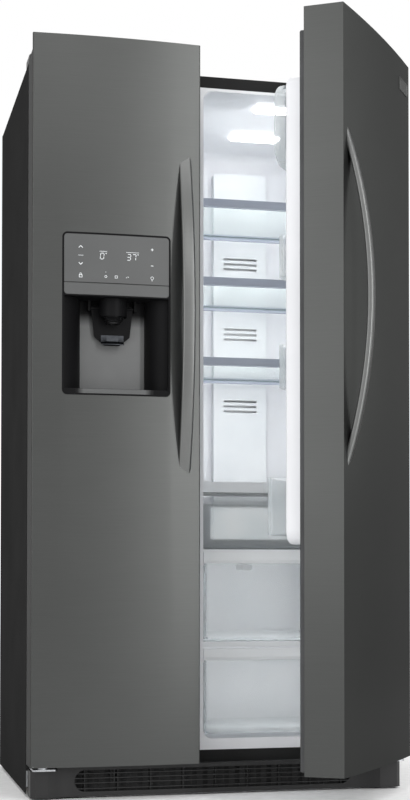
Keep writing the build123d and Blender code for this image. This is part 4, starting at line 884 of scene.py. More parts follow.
class Finishes(Enum):
    """Every finish of the product and its studio, each with its place and what it looks like."""

    # Door sheets, brushed level. To the eye: smoked grey metal, bright where the key light lies.
    DOOR_STEEL = BrushedSteel("smoked_brushed_steel")
    # The bars, brushed along. To the eye: the same metal as the doors, glossier, and paler as
    # painted highlight.
    HANDLE_STEEL_PAINTED_HIGHLIGHT = BrushedSteel(
        "smoked_brushed_bar_painted_highlight", "#6b6c6b", "#737473", line_length_mm=60.0, roughness=(0.26, 0.34)
    )
    # The control panel's lacquer. To the eye: smooth smoked grey with a low gloss.
    PANEL_PAINT = PaintedSteel(
        "smoked_panel_lacquer", "#4d4e4e", "#525353", peel_mm=1.2, roughness=0.4, gloss=0.35
    )
    # The cabinet's sides and top. To the eye: matte, nearly black.
    SIDE_PAINT = PaintedSteel("dark_baked_enamel")
    # The front rim between the doors. To the eye: charcoal, a little glossier than the sides.
    RIM_PAINT = PaintedSteel("charcoal_rim_enamel", "#444444", "#4b4b4b", roughness=0.45, gloss=0.2)
    # Vacuum formed liners. To the eye: cool white with a soft shine.
    LINER_STYRENE = MouldedPlastic("white_formed_styrene")
    # Moulded trims and covers. To the eye: white, a little duller than the liners.
    TRIM_WHITE = MouldedPlastic(
        "white_moulded_trim",
        "#e4e7e9",
        "#eef0f1",
        grain_mm=1.0,
        grain_depth_mm=0.015,
        roughness=(0.3, 0.42),
    )
    # Shelf rails. To the eye: a glossy pale blue-grey.
    SHELF_RAIL = MouldedPlastic(
        "blue_grey_shelf_rail",
        "#a9b0bf",
        "#b6bcc9",
        grain_mm=1.0,
        grain_depth_mm=0.01,
        roughness=(0.18, 0.28),
    )
    # Small moulded trims. To the eye: a pale neutral grey.
    TRIM_GREY = MouldedPlastic(
        "pale_grey_moulded_trim",
        "#c3c8cb",
        "#d0d4d7",
        grain_mm=1.0,
        grain_depth_mm=0.015,
        roughness=(0.25, 0.36),
    )
    # Door caps and hinge covers. To the eye: a grained charcoal with a low sheen.
    CHARCOAL_ABS = MouldedPlastic(
        "charcoal_grained_abs",
        "#222223",
        "#2b2b2c",
        grain_mm=0.9,
        grain_depth_mm=0.03,
        roughness=(0.42, 0.56),
    )
    # The toe grille. To the eye: a dusty grained black.
    GRILLE_ABS = MouldedPlastic(
        "black_grained_abs",
        "#0c0c0c",
        "#111112",
        grain_mm=0.9,
        grain_depth_mm=0.03,
        roughness=(0.5, 0.62),
    )
    # The plate behind the glass's place. To the eye: smoked silver that fades to black at its top
    # and sides, painted reflection of the cavity's dark ceiling and walls.
    CAVITY_PLATE = EdgeFadedPlate("smoked_abs_painted_reflection")
    # The drip tray's front. To the eye: a darker band that fades at both ends.
    TRAY_FRONT_FADE = EdgeFadedPlate(
        "smoked_tray_faded_ends",
        "#565757",
        "#5c5d5d",
        middle_x=0.130,
        half_full=0.072,
        half_faded=0.086,
    )
    # The dispenser's housing. To the eye: a deep satin black.
    HOUSING_ABS = MouldedPlastic(
        "black_satin_abs", "#0e0e0f", "#141415", grain_mm=1.1, roughness=(0.4, 0.52), gloss=0.06
    )
    # Small black mouldings. To the eye: black with a clear shine.
    BLACK_ABS = MouldedPlastic(
        "black_moulded_abs",
        "#0b0b0c",
        "#121213",
        grain_mm=1.1,
        grain_depth_mm=0.012,
        roughness=(0.26, 0.38),
        gloss=0.3,
    )
    # Rollers. To the eye: a dull cream white.
    NYLON = MouldedPlastic(
        "natural_nylon", "#cfcdc4", "#dad8cf", grain_mm=0.8, roughness=(0.4, 0.55)
    )
    # Drawers and the ice bin. To the eye: clear, with bright edges.
    CLEAR_TUB = ClearPlastic("clear_moulded_styrene")
    # Door bins. To the eye: clear, a little milkier than the drawers.
    CLEAR_BIN = ClearPlastic("clear_door_bin", "#dde6ea", "#f4f9fb", face=0.14, edge=0.8)
    # Shelves. To the eye: clear flats and green-grey edges.
    SHELF_GLASS = ShelfGlass("tempered_shelf_glass")
    # Ceiling lights. To the eye: glowing white panels.
    LIGHT_LENS = LightLens("frosted_light_lens")
    # Figures and signs of the panel. To the eye: pale and faintly lit.
    PANEL_MARK = PrintedMark("lit_panel_mark")
    # Back panel, base and machine cover. To the eye: dull spangled grey.
    GALVANISED = GalvanisedSteel("galvanised_sheet")
    # Hinges, legs, screws and wire shelves. To the eye: bright scuffed grey.
    PLATED = PlatedSteel("zinc_plated_steel")
    # The paddle's lip. To the eye: a dark satin metal.
    LIP_CHROME = PlatedSteel("satin_chromed_lip", "#34363a", "#45474a")
    # Compressor and condenser. To the eye: glossy black under dust.
    BLACK_ENAMEL = BlackEnamel("black_stoving_enamel")
    # Insulation. To the eye: straw-coloured and full of cells.
    FOAM = RigidFoam("rigid_polyurethane_foam")
    # Evaporator fins. To the eye: bright satin metal.
    ALUMINIUM = RolledAluminium("rolled_fin_aluminium")
    # Door seals. To the eye: matte dark grey.
    SEAL = SealRubber("extruded_seal_vinyl")
    # The studio's floor. To the eye: plain white.
    FLOOR = FloorPaint("studio_floor")


# ---------------------------------------------------------------- sub-assemblies
@dataclass
class SubAssembly:
    """A group of nodes on one body, with the finish of each and the pieces added to it."""

    nodes: dict[str, bpy.types.Object]
    finishes: dict[str, Finishes] = field(default_factory=dict)

    def dress(self) -> None:
        """Gives each of the group's frame nodes its finish."""
        for name, finish in self.finishes.items():
            finish.value.dress(self.nodes[name])
            LOG.info("dressed %s as %s", name, finish.value.name)

    def build(self) -> None:
        """Makes the pieces that the frame doesn't hold. Most groups have none."""

    def add(self, piece: bpy.types.Object, body: str, finish: Finishes, slot: str) -> None:
        """Finishes a new piece and puts it on its body.

        Args:
            piece: The new piece.
            body: The body that it moves with.
            finish: Its finish.
            slot: The record's material slot for it. Not used.
        """
        finish.value.dress(piece)
        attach(piece, body)
        LOG.info("added %s to %s", piece.name, body)


@dataclass
class ScrewGrid:
    """Hex washer screw heads, all alike, in rows on the back of one sheet."""

    name: str
    node: str
    across_mm: float
    counts: tuple[int, int]
    insets: tuple[float, float]
    sides: int = 24
    height_share: float = 0.8
    # Each ring: its share of the washer's radius, its share of the height, and whether it is hex.
    rings: tuple[tuple[float, float, bool], ...] = (
        (1.0, 0.0, False),
        (1.0, 0.18, False),
        (0.94, 0.26, False),
        (0.66, 0.26, True),
        (0.66, 0.85, True),
        (0.56, 1.0, True),
    )

    def head(self) -> list[Vector]:
        """Shapes one head that stands on the sheet's back.

        Returns:
            Its points, ring by ring, from the middle of its foot.
        """
        out = Vector((0, 1, 0)).to_track_quat("Z", "Y").to_matrix()
        radius = self.across_mm * MM / 2
        points = []
        for share, rise, hexagon in self.rings:
            for i in range(self.sides):
                angle = math.tau * i / self.sides
                reach = radius * share
                if hexagon:
                    reach *= math.cos(math.pi / 6) / math.cos(angle % (math.pi / 3) - math.pi / 6)
                height = rise * radius * self.height_share
                points.append(
                    out @ Vector((reach * math.cos(angle), reach * math.sin(angle), height))
                )
        return points

    def build(self) -> bpy.types.Object:
        """Sets the heads on the sheet.

        Returns:
            One piece with every head.
        """
        low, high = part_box(self.node)
        columns = evenly(low[0], high[0], self.insets[0], self.counts[0])
        rows = evenly(low[2], high[2], self.insets[1], self.counts[1])
        head, sides = self.head(), self.sides
        vertices, faces = [], []
        for spot in (Vector((x, high[1], z)) for x in columns for z in rows):
            base = len(vertices)
            vertices += [spot + point for point in head]
            for ring in range(len(self.rings) - 1):
                for i in range(sides):
                    a, b = base + ring * sides + i, base + ring * sides + (i + 1) % sides
                    faces.append((a, b, b + sides, a + sides))
            faces.append(tuple(range(base + len(head) - sides, base + len(head))))
        return mesh_object(self.name, vertices, faces, smooth_degrees=25.0)


@dataclass
class Cabinet(SubAssembly):
    """The cabinet: shell, liners, base, hinges and grille."""

    # The baffle: its place behind the grille's front, its folds, its sheet and its gaps.
    baffle_back: float = 0.030
    baffle_fold: float = 0.006
    baffle_pleats: int = 30
    baffle_sheet: float = 0.0015
    baffle_gap: float = 0.004
    baffle_ends: tuple[float, float] = (0.045, 0.070)
    screws: tuple[ScrewGrid, ...] = (
        ScrewGrid("back_panel_screws", "rear_panel", 11.0, (2, 6), (0.012, 0.020)),
        ScrewGrid("machine_cover_screws", "machine_cover", 10.0, (5, 2), (0.014, 0.012)),
    )
    finishes: dict[str, Finishes] = field(
        default_factory=lambda: {
            "cabinet_shell": Finishes.SIDE_PAINT,
            "mullion_strip": Finishes.RIM_PAINT,
            "foam_insulation": Finishes.FOAM,
            "fridge_liner": Finishes.LINER_STYRENE,
            "freezer_liner": Finishes.LINER_STYRENE,
            "rear_panel": Finishes.GALVANISED,
            "base_frame": Finishes.GALVANISED,
            "machine_cover": Finishes.GALVANISED,
            "levelling_legs": Finishes.PLATED,
            "top_hinges": Finishes.PLATED,
            "bottom_hinges": Finishes.PLATED,
            "hinge_covers": Finishes.CHARCOAL_ABS,
            "toe_grille": Finishes.GRILLE_ABS,
            "rear_roller_left": Finishes.NYLON,
            "rear_roller_right": Finishes.NYLON,
        }
    )

    def baffle(self) -> None:
        """Adds the folded air baffle behind the grille's louvres."""
        low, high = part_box("toe_grille")
        left, right = low[0] + self.baffle_ends[0], high[0] - self.baffle_ends[1]
        foot, top = low[2] + self.baffle_gap, high[2] - self.baffle_gap
        loops = []
        for i in range(2 * self.baffle_pleats + 1):
            x = left + (right - left) * i / (2 * self.baffle_pleats)
            front = low[1] + self.baffle_back + self.baffle_fold * (i % 2)
            back = front + self.baffle_sheet
            section = ((front, foot), (front, top), (back, top), (back, foot))
            loops.append([Vector((x, y, z)) for y, z in section])
        self.add(loft("grille_baffle", loops), "cabinet", Finishes.GRILLE_ABS, "dark_plastic")

    def build(self) -> None:
        """Adds the baffle and the screws."""
        self.baffle()
        for grid in self.screws:
            self.add(grid.build(), "cabinet", Finishes.PLATED, "steel")


@dataclass
class Machine(SubAssembly):
    """The cooling parts: compressor, coils, fans, pan, valve and gland."""

    finishes: dict[str, Finishes] = field(
        default_factory=lambda: {
            "compressor": Finishes.BLACK_ENAMEL,
            "condenser": Finishes.BLACK_ENAMEL,
            "condenser_fan": Finishes.CHARCOAL_ABS,
            "fan_motors": Finishes.GALVANISED,
            "drain_pan": Finishes.BLACK_ABS,
            "water_valve": Finishes.TRIM_WHITE,
            "power_inlet": Finishes.BLACK_ABS,
            "evaporator": Finishes.ALUMINIUM,
            "evaporator_fan": Finishes.TRIM_WHITE,
            "evaporator_cover": Finishes.TRIM_WHITE,
        }
    )


@dataclass
class FreshFood(SubAssembly):
    """The fresh food compartment's shelves, drawers, air duct and lights."""

    finishes: dict[str, Finishes] = field(
        default_factory=lambda: {
            "shelf_frames": Finishes.SHELF_RAIL,
            "shelf_glass": Finishes.SHELF_GLASS,
            "drawer_covers": Finishes.TRIM_WHITE,
            "fridge_duct_cover": Finishes.TRIM_WHITE,
            "ceiling_light_lenses": Finishes.LIGHT_LENS,
            "deli_drawer": Finishes.CLEAR_TUB,
            "crisper_upper": Finishes.CLEAR_TUB,
            "crisper_lower": Finishes.CLEAR_TUB,
            "crisper_upper_trim": Finishes.TRIM_WHITE,
            "crisper_lower_trim": Finishes.TRIM_WHITE,
            "humidity_slider": Finishes.TRIM_GREY,
        }
    )


@dataclass
class Freezer(SubAssembly):
    """The freezer's shelves, baskets and ice parts."""

    finishes: dict[str, Finishes] = field(
        default_factory=lambda: {
            "freezer_shelves": Finishes.PLATED,
            "freezer_baskets": Finishes.TRIM_WHITE,
            "ice_maker": Finishes.TRIM_GREY,
            "ice_bin": Finishes.CLEAR_TUB,
            "ice_auger": Finishes.PLATED,
        }
    )


@dataclass
class DoorFace:
    """The bowed front of a door in its closed place, and the turn that brings it to rest."""

    left: float
    right: float
    crest_y: float
    bow: float = 0.008
    place: Matrix = field(default_factory=lambda: Matrix.Identity(4))

    def y_at(self, x: float) -> float:
        """Finds how far out the face stands.

        Args:
            x: Place across the closed door.

        Returns:
            The face's y there.
        """
        half = (self.right - self.left) / 2
        radius = (half**2 + self.bow**2) / (2 * self.bow)
        offset = x - (self.left + self.right) / 2
        return self.crest_y + radius - math.sqrt(radius**2 - offset**2)

    def point(self, x: float, proud: float, z: float) -> Vector:
        """A point that stands proud of the face, at the door's rest place."""
        return self.place @ Vector((x, self.y_at(x) - proud, z))


@dataclass
class DoorHandle:
    """A bowed bar handle, one arc in side view, whose ends run into the door's face."""

    face: DoorFace
    x: float
    lean_degrees: float
    low: float = 0.763
    high: float = 1.502
    bow: float = 0.058
    width: float = 0.030
    thick: float = 0.0150
    crown: float = 0.0020
    rounding: float = 0.0045
    run_in: float = 0.024
    stations: int = 88

    def section(self) -> list[Vector]:
        """Shapes the bar's section, which is crowned outside and leans.

        Returns:
            Its points: x across and y towards the door.
        """
        lean = Matrix.Rotation(math.radians(self.lean_degrees), 2)
        points = []
        for x, y in rounded_outline(self.width, self.thick - self.crown, self.rounding, 7):
            swell = self.crown * (1 - (2 * x / self.width) ** 2) if y < 0 else 0.0
            points.append(lean @ Vector((x, y - swell + self.crown / 2)))
        return points

    def build(self, name: str) -> bpy.types.Object:
        """Sweeps the section along the arc.

        Args:
            name: The piece's name.

        Returns:
            The finished bar.
        """
        middle_z = (self.low + self.high) / 2
        half = (self.high - self.low) / 2
        outer = (half**2 + self.bow**2) / (2 * self.bow)
        radius = outer - self.thick / 2
        reach = math.asin((half + self.run_in) / radius)
        face_y = self.face.y_at(self.x)
        section = self.section()
        loops = []
        for step in range(self.stations + 1):
            turn = reach * (2 * step / self.stations - 1)
            out = outer - self.bow - radius * math.cos(turn)
            middle = Vector((self.x, face_y + out, middle_z + radius * math.sin(turn)))
            inward = Vector((0, math.cos(turn), -math.sin(turn)))
            spots = [middle + inward * spot.y + Vector((spot.x, 0, 0)) for spot in section]
            loops.append([self.face.place @ spot for spot in spots])
        return loft(name, loops, smooth_degrees=35.0)


@dataclass
class TopSheet:
    """The inner sheet's upper strip: it covers a door's foam between the liner and the top cap."""

    face: DoorFace
    hinge_left: bool
    edge: float = 0.0102
    hinge_box: float = 0.0966
    box_rise: float = 0.0053
    rounding: float = 0.006
    corner_steps: int = 5
    sheet: float = 0.0010
    gap: float = 0.0001
    liner_gap: float = 0.0002
    cap_gap: float = 0.0006

    def outline(self) -> list[tuple[float, float]]:
        """Draws the strip, cut out round the hinge's box.

        Returns:
            Its points: how far from the hinge side, and z.
        """
        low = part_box("freezer_door_liner")[1][2] + self.liner_gap
        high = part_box("freezer_door_caps")[1][2] - self.cap_gap
        far = self.face.right - self.face.left - self.edge
        points = [(self.edge, low), (far, low)]
        for step in range(self.corner_steps + 1):
            turn = math.radians(90 * step / self.corner_steps)
            across = far - self.rounding * (1 - math.cos(turn))
            points.append((across, high - self.rounding * (1 - math.sin(turn))))
        step_z = low + self.box_rise
        return points + [(self.hinge_box, high), (self.hinge_box, step_z), (self.edge, step_z)]

    def build(self, name: str) -> bpy.types.Object:
        """Makes the strip.

        Args:
            name: The piece's name.

        Returns:
            The finished strip.
        """
        start, way = (self.face.left, 1) if self.hinge_left else (self.face.right, -1)
        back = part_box("freezer_door_skin")[1][1] - self.gap
        loops = []
        for y in (back - self.sheet, back):
            spots = [Vector((start + way * reach, y, z)) for reach, z in self.outline()]
            loops.append([self.face.place @ spot for spot in spots])
        return loft(name, loops)


@dataclass(frozen=True)
class Sign:
    """A sign of the control panel, in millimetres from the sign's middle.

    A stroke is x and z of its first end, x and z of its last end, and its width. A ring is x and z
    of its centre, its radius and its number of sides.
    """

    strokes: tuple[tuple[float, float, float, float, float], ...] = ()
    rings: tuple[tuple[float, float, float, int], ...] = ()


class Signs(Enum):
    """The panel's signs."""

    UP = Sign(((0, 22.5, -4.5, 17.7, 1.3), (0, 22.5, 4.5, 17.7, 1.3)))
    DOWN = Sign(((0, -21.5, -4.5, -16.7, 1.3), (0, -21.5, 4.5, -16.7, 1.3)))
    RULE = Sign(((-6, 0, 6, 0, 0.7),))
    PLUS = Sign(((-3, 20.5, 3, 20.5, 1.3), (0, 17.5, 0, 23.5, 1.3)))
    MINUS = Sign(((-3, -17.5, 3, -17.5, 1.3),))
    BULB = Sign(((-1.5, -5, 1.5, -5, 1.0),), ((0, 1, 3.4, 12),))
    LOCK = Sign(
        (
            (-3.2, -3, -3.2, 2.5, 1.1),
            (3.2, -3, 3.2, 2.5, 1.1),
            (-3.7, -3.5, 3.7, -3.5, 1.1),
            (-3.7, 2.2, 3.7, 2.2, 1.1),
        ),
        ((0, 4.2, 2.2, 8),),
    )
    DROP = Sign(((-0.6, 10.5, 0.6, 10.5, 1.2),), ((0, 0, 2.6, 10),))
    CUBE = Sign(
        (
            (-3, -2.6, 3, -2.6, 0.9),
            (-2.8, -3, -2.8, 3, 0.9),
            (-3, 2.6, 3, 2.6, 0.9),
            (2.8, -3, 2.8, 3, 0.9),
        )
    )
    CRUSHED = Sign(((-3, -1.5, -1, 0, 1.3), (1, 1.5, 3, 0, 1.3)))


@dataclass
class DisplayMarks:
    """The figures and signs of the control panel: thin plates laid on its bowed face.

    Each is drawn with straight strokes in x and z, as the display's own segments are.
    """

    face: DoorFace
    thick: float = 0.00025
    stroke: float = 0.0013
    ring_stroke: float = 0.0009
    # A figure: its size, its lean, the gap at each segment's ends and the step to the next one.
    figure_width: float = 0.0080
    figure_height: float = 0.0138
    figure_lean: float = 0.10
    figure_gap: float = 0.0009
    figure_step: float = 0.0122
    # What goes with a reading: the degree ring after its figures and the rule above them.
    degree_back: float = 0.0030
    degree_up: float = 0.0066
    degree_radius: float = 0.0010
    degree_sides: int = 6
    rule_up: float = 0.0112
    rule_reach: tuple[float, float] = (0.0065, 0.0020)
    rule_stroke: float = 0.0008
    strokes: list[list[Vector]] = field(default_factory=list)

    def line(self, start: tuple[float, float], end: tuple[float, float], width: float) -> None:
        """Adds one stroke.

        Args:
            start: Its first end, x and z.
            end: Its last end.
            width: Its width.
        """
        first, last = Vector(start), Vector(end)
        side = (last - first).normalized().orthogonal() * width / 2
        self.strokes.append([first + side, last + side, last - side, first - side])

    def ring(self, x: float, z: float, radius: float, sides: int) -> None:
        """Adds a round sign made of short strokes.

        Args:
            x: Its centre across.
            z: Its centre up.
            radius: Its radius.
            sides: How many strokes go round.
        """
        turns = [math.tau * i / sides for i in range(sides + 1)]
        points = [(x + radius * math.cos(turn), z + radius * math.sin(turn)) for turn in turns]
        for start, end in zip(points, points[1:]):
            self.line(start, end, self.ring_stroke)

    def figure(self, lit: str, x: float, z: float) -> None:
        """Adds a seven-segment figure.

        Args:
            lit: The letters of the segments that are lit, a to g.
            x: Its centre across.
            z: Its centre up.
        """
        half, tall = self.figure_width / 2, self.figure_height / 2
        bars = {
            "a": ((-half, tall), (half, tall)),
            "b": ((half, tall), (half, 0)),
            "c": ((half, 0), (half, -tall)),
            "d": ((-half, -tall), (half, -tall)),
            "e": ((-half, 0), (-half, -tall)),
            "f": ((-half, tall), (-half, 0)),
            "g": ((-half, 0), (half, 0)),
        }
        for letter in lit:
            start, end = (Vector(point) for point in bars[letter])
            along = (end - start).normalized() * self.figure_gap
            tips = (start + along, end - along)
            ends = [(x + tip.x + self.figure_lean * tip.y, z + tip.y) for tip in tips]
            self.line(*ends, self.stroke)

    def reading(self, figures: tuple[str, ...], x: float, z: float) -> None:
        """Adds a reading: its figures, the degree ring after them and the rule above them.

        Args:
            figures: The lit segments of each figure.
            x: The first figure's centre across.
            z: The figures' centre up.
        """
        for place, lit in enumerate(figures):
            self.figure(lit, x + self.figure_step * place, z)
        after = x + self.figure_step * len(figures) - self.degree_back
        self.ring(after, z + self.degree_up, self.degree_radius, self.degree_sides)
        before, beyond = self.rule_reach
        rule_z = z + self.rule_up
        self.line((x - before, rule_z), (after + beyond, rule_z), self.rule_stroke)

    def sign(self, sign: Signs, x: float, z: float) -> None:
        """Adds one of the panel's signs.

        Args:
            sign: Which sign.
            x: Its middle across.
            z: Its middle up.
        """
        for x_1, z_1, x_2, z_2, width in sign.value.strokes:
            start, end = (x + x_1 * MM, z + z_1 * MM), (x + x_2 * MM, z + z_2 * MM)
            self.line(start, end, width * MM)
        for ring_x, ring_z, radius, sides in sign.value.rings:
            self.ring(x + ring_x * MM, z + ring_z * MM, radius * MM, sides)

    def build(self, name: str, proud: float) -> bpy.types.Object:
        """Makes one mesh of all the strokes.

        Args:
            name: The piece's name.
            proud: How far the panel stands out of the door's face.

        Returns:
            The finished signs.
        """
        vertices, faces = [], []
        for corners in self.strokes:
            base = len(vertices)
            for level in (proud - self.thick, proud + self.thick):
                vertices += [self.face.point(corner.x, level, corner.y) for corner in corners]
            faces += [tuple(base + i for i in side) for side in ((0, 1, 2, 3), (7, 6, 5, 4))]
            for i in range(4):
                k = (i + 1) % 4
                faces.append((base + i, base + k, base + 4 + k, base + 4 + i))
        return mesh_object(name, vertices, faces)


@dataclass
class Door(SubAssembly):
    """What both doors share: a bowed face, a bar handle and the sheet over the foam's top."""

    hinge_left: bool = True
    handle_inset: float = 0.037
    handle_lean_degrees: float = 8.0

    def face(self) -> DoorFace:
        """The door's bowed face."""
        raise NotImplementedError

    def bar(self, name: str) -> bpy.types.Object:
        """Makes the smooth bar that takes the place of the frame's faceted handle.

        Args:
            name: The piece's name.

        Returns:
            The bar, near the door's free edge and leaning away from it.
        """
        face = self.face()
        edge, way = (face.right, -1) if self.hinge_left else (face.left, 1)
        lean = way * self.handle_lean_degrees
        return DoorHandle(face, edge + way * self.handle_inset, lean).build(name)


@dataclass
class FreezerDoor(Door):
    """The freezer door with its dispenser."""

    # The control panel: columns of touch signs from its sides, and its two readings.
    sign_columns: tuple[float, float] = (0.038, 0.040)
    mode_columns: tuple[float, float, float] = (0.0963, 0.1207, 0.1470)
    reading_below_top: float = 0.0497
    modes_below_reading: float = 0.0475
    readings: tuple[tuple[float, tuple[str, ...]], ...] = (
        (0.0877, ("abcdef",)),
        (0.1504, ("abcdg", "abc")),
    )
    # The cavity's back: its flat, the rounds beside it, and the plate on it.
    dispenser_middle: float = 0.1355
    wall_back: float = -0.077
    wall_flat: float = 0.0775
    wall_centre: float = 0.0604
    wall_radius: float = 0.062
    plate_half: float = 0.102
    plate_span: tuple[float, float] = (0.0155, 0.1995)
    plate_skins: tuple[float, float] = (0.0004, 0.0010)
    plate_columns: int = 48
    plate_rows: int = 16
    # The drip tray's front: how far it reaches to each side, and its section, back and up.
    tray_reach: tuple[float, float] = (0.096, 0.086)
    tray_stations: int = 24
    tray_section: tuple[tuple[float, float], ...] = (
        (0.0002, 0.0036),
        (-0.0004, 0.0042),
        (-0.0004, 0.0142),
        (0.0002, 0.0148),
    )
    # The water spout: where it hangs, and its radius and rise at each rib and groove.
    spout_aside: float = -0.0015
    spout_y: float = -0.1090
    spout_sides: int = 40
    spout_profile: tuple[tuple[float, float], ...] = (
        (0.0245, 0.0040),
        (0.0245, -0.0010),
        (0.0215, -0.0030),
        (0.0225, -0.0055),
        (0.0190, -0.0080),
        (0.0200, -0.0105),
        (0.0165, -0.0130),
        (0.0150, -0.0160),
        (0.0120, -0.0165),
        (0.0120, 0.0040),
    )
    # The paddle's lip: its half width, its sag in the middle, its thickness, y and z, and its
    # path: y, z and whether it sags there.
    lip_half: float = 0.027
    lip_sag: float = 0.004
    lip_steps: int = 14
    lip_thick: tuple[float, float] = (-0.0004, 0.0018)
    lip_path: tuple[tuple[float, float, bool], ...] = (
        (0.0, 0.022, False),
        (-0.0012, 0.008, False),
        (-0.006, 0.0015, True),
        (-0.0125, 0.0, True),
    )
    finishes: dict[str, Finishes] = field(
        default_factory=lambda: {
            "freezer_door_skin": Finishes.DOOR_STEEL,
            "freezer_door_caps": Finishes.CHARCOAL_ABS,
            "freezer_door_foam": Finishes.FOAM,
            "freezer_door_liner": Finishes.LINER_STYRENE,
            "freezer_gasket": Finishes.SEAL,
            "freezer_door_bins": Finishes.CLEAR_BIN,
            "dispenser_housing": Finishes.HOUSING_ABS,
            "dispenser_panel": Finishes.PANEL_PAINT,
            "dispenser_chute": Finishes.HOUSING_ABS,
            "dispenser_paddle": Finishes.HOUSING_ABS,
        }
    )

    def face(self) -> DoorFace:
        """The door's bowed face, from its skin's box."""
        low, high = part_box("freezer_door_skin")
        return DoorFace(low[0], high[0], low[1])

    def handle(self) -> None:
        """Adds the bar handle."""
        bar = self.bar("freezer_handle_bar")
        self.add(bar, "freezer_door", Finishes.HANDLE_STEEL_PAINTED_HIGHLIGHT, "dark_steel")
        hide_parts("freezer_handle")

    def top_sheet(self) -> None:
        """Adds the white strip over the foam at the top of the door's back."""
        strip = TopSheet(self.face(), self.hinge_left).build("freezer_door_top_sheet")
        self.add(strip, "freezer_door", Finishes.LINER_STYRENE, "white_plastic")

    def display(self) -> None:
        """Adds the lit figures and touch signs of the control panel."""
        face = self.face()
        low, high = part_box("dispenser_panel")
        middle = high[2] - self.reading_below_top
        foot = middle - self.modes_below_reading
        marks = DisplayMarks(face)
        for inset, figures in self.readings:
            marks.reading(figures, low[0] + inset, middle)
        left, right = low[0] + self.sign_columns[0], high[0] - self.sign_columns[1]
        for sign in (Signs.UP, Signs.DOWN, Signs.RULE):
            marks.sign(sign, left, middle)
        for sign in (Signs.PLUS, Signs.MINUS):
            marks.sign(sign, right, middle)
        marks.sign(Signs.BULB, right, foot)
        marks.sign(Signs.LOCK, left, foot)
        for sign, inset in zip((Signs.DROP, Signs.CUBE, Signs.CRUSHED), self.mode_columns):
            marks.sign(sign, low[0] + inset, foot)
        signs = marks.build("display_marks", face.crest_y - low[1])
        self.add(signs, "freezer_door", Finishes.PANEL_MARK, "white_plastic")

    def wall_y(self, x: float) -> float:
        """Finds the plate's place in depth, flat in the middle and turned forward at its sides.

        Args:
            x: Place across.

        Returns:
            The plate's y there.
        """
        aside = abs(x - self.dispenser_middle)
        if aside <= self.wall_flat:
            return self.wall_back
        radius, centre = self.wall_radius, self.wall_centre
        centre_y = self.wall_back - math.sqrt(radius**2 - (self.wall_flat - centre) ** 2)
        return centre_y + math.sqrt(radius**2 - (aside - centre) ** 2)

    def cavity_plate(self) -> None:
        """Adds the smoked plate that lines the cavity's back, with painted reflection of the
        cavity's dark ceiling and walls at its top and sides.
        """
        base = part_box("dispenser_housing")[0][2]
        foot, top = (base + up for up in self.plate_span)
        columns, rows = self.plate_columns, self.plate_rows
        vertices, faces = [], []
        for skin in self.plate_skins:
            for row in range(rows + 1):
                up = foot + (top - foot) * row / rows
                for column in range(columns + 1):
                    x = self.dispenser_middle + self.plate_half * (2 * column / columns - 1)
                    vertices.append((x, self.wall_y(x) - skin, up))
        count = (columns + 1) * (rows + 1)
        for row in range(rows):
            for column in range(columns):
                a = row * (columns + 1) + column
                b, c, d = a + 1, a + columns + 2, a + columns + 1
                faces += [(a, b, c, d), (count + d, count + c, count + b, count + a)]
        edge = list(range(columns + 1))
        edge += [row * (columns + 1) + columns for row in range(1, rows + 1)]
        edge += [rows * (columns + 1) + column for column in range(columns - 1, -1, -1)]
        edge += [row * (columns + 1) for row in range(rows - 1, 0, -1)]
        for a, b in zip(edge, edge[1:] + edge[:1]):
            faces.append((b, a, count + a, count + b))
        plate = mesh_object("cavity_back_plate", vertices, faces, smooth_degrees=40.0)
        self.add(plate, "freezer_door", Finishes.CAVITY_PLATE, "grey_plastic")

    def tray_front(self) -> None:
        """Adds the smoked front of the drip tray, a thin band on the ledge under the cavity whose
        colour fades to black towards both ends.
        """
        face = self.face()
        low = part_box("dispenser_housing")[0]
        proud = face.crest_y - low[1]
        left = self.dispenser_middle - self.tray_reach[0]
        right = self.dispenser_middle + self.tray_reach[1]
        loops = []
        for step in range(self.tray_stations + 1):
            x = left + (right - left) * step / self.tray_stations
            loops.append([face.point(x, proud - y, low[2] + z) for y, z in self.tray_section])
        band = loft("drip_tray_front", loops)
        self.add(band, "freezer_door", Finishes.TRAY_FRONT_FADE, "grey_plastic")

    def spout(self) -> None:
        """Adds the ribbed water spout under the chute's mouth."""
        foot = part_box("dispenser_chute")[0][2]
        centre = Vector((self.dispenser_middle + self.spout_aside, self.spout_y, foot))
        turns = [math.tau * i / self.spout_sides for i in range(self.spout_sides)]
        loops = [
            [centre + Vector((radius * math.cos(t), radius * math.sin(t), up)) for t in turns]
            for radius, up in self.spout_profile
        ]
        cone = loft("water_spout", loops, smooth_degrees=25.0)
        self.add(cone, "freezer_door", Finishes.BLACK_ABS, "dark_plastic")

    def paddle_lip(self) -> None:
        """Adds the satin curled lip at the paddle's foot, where a glass presses."""
        low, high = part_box("dispenser_paddle")
        thick_y, thick_z = self.lip_thick
        loops = []
        for step in range(self.lip_steps + 1):
            across = 2 * step / self.lip_steps - 1
            sag = self.lip_sag * (1 - across**2)
            x = (low[0] + high[0]) / 2 + across * self.lip_half
            path = [(y - sag if sags else y, z) for y, z, sags in self.lip_path]
            outer = [Vector((x, low[1] + y, low[2] + z)) for y, z in path]
            inner = [spot + Vector((0, thick_y, thick_z)) for spot in reversed(outer)]
            loops.append(outer + inner)
        lip = loft("paddle_lip", loops, smooth_degrees=45.0)
        self.add(lip, "dispenser_paddle", Finishes.LIP_CHROME, "grey_plastic")

    def build(self) -> None:
        """Adds the handle, the top strip and everything that shows in the dispenser."""
        self.handle()
        self.top_sheet()
        self.display()
        self.cavity_plate()
        self.tray_front()
        self.spout()
        self.paddle_lip()


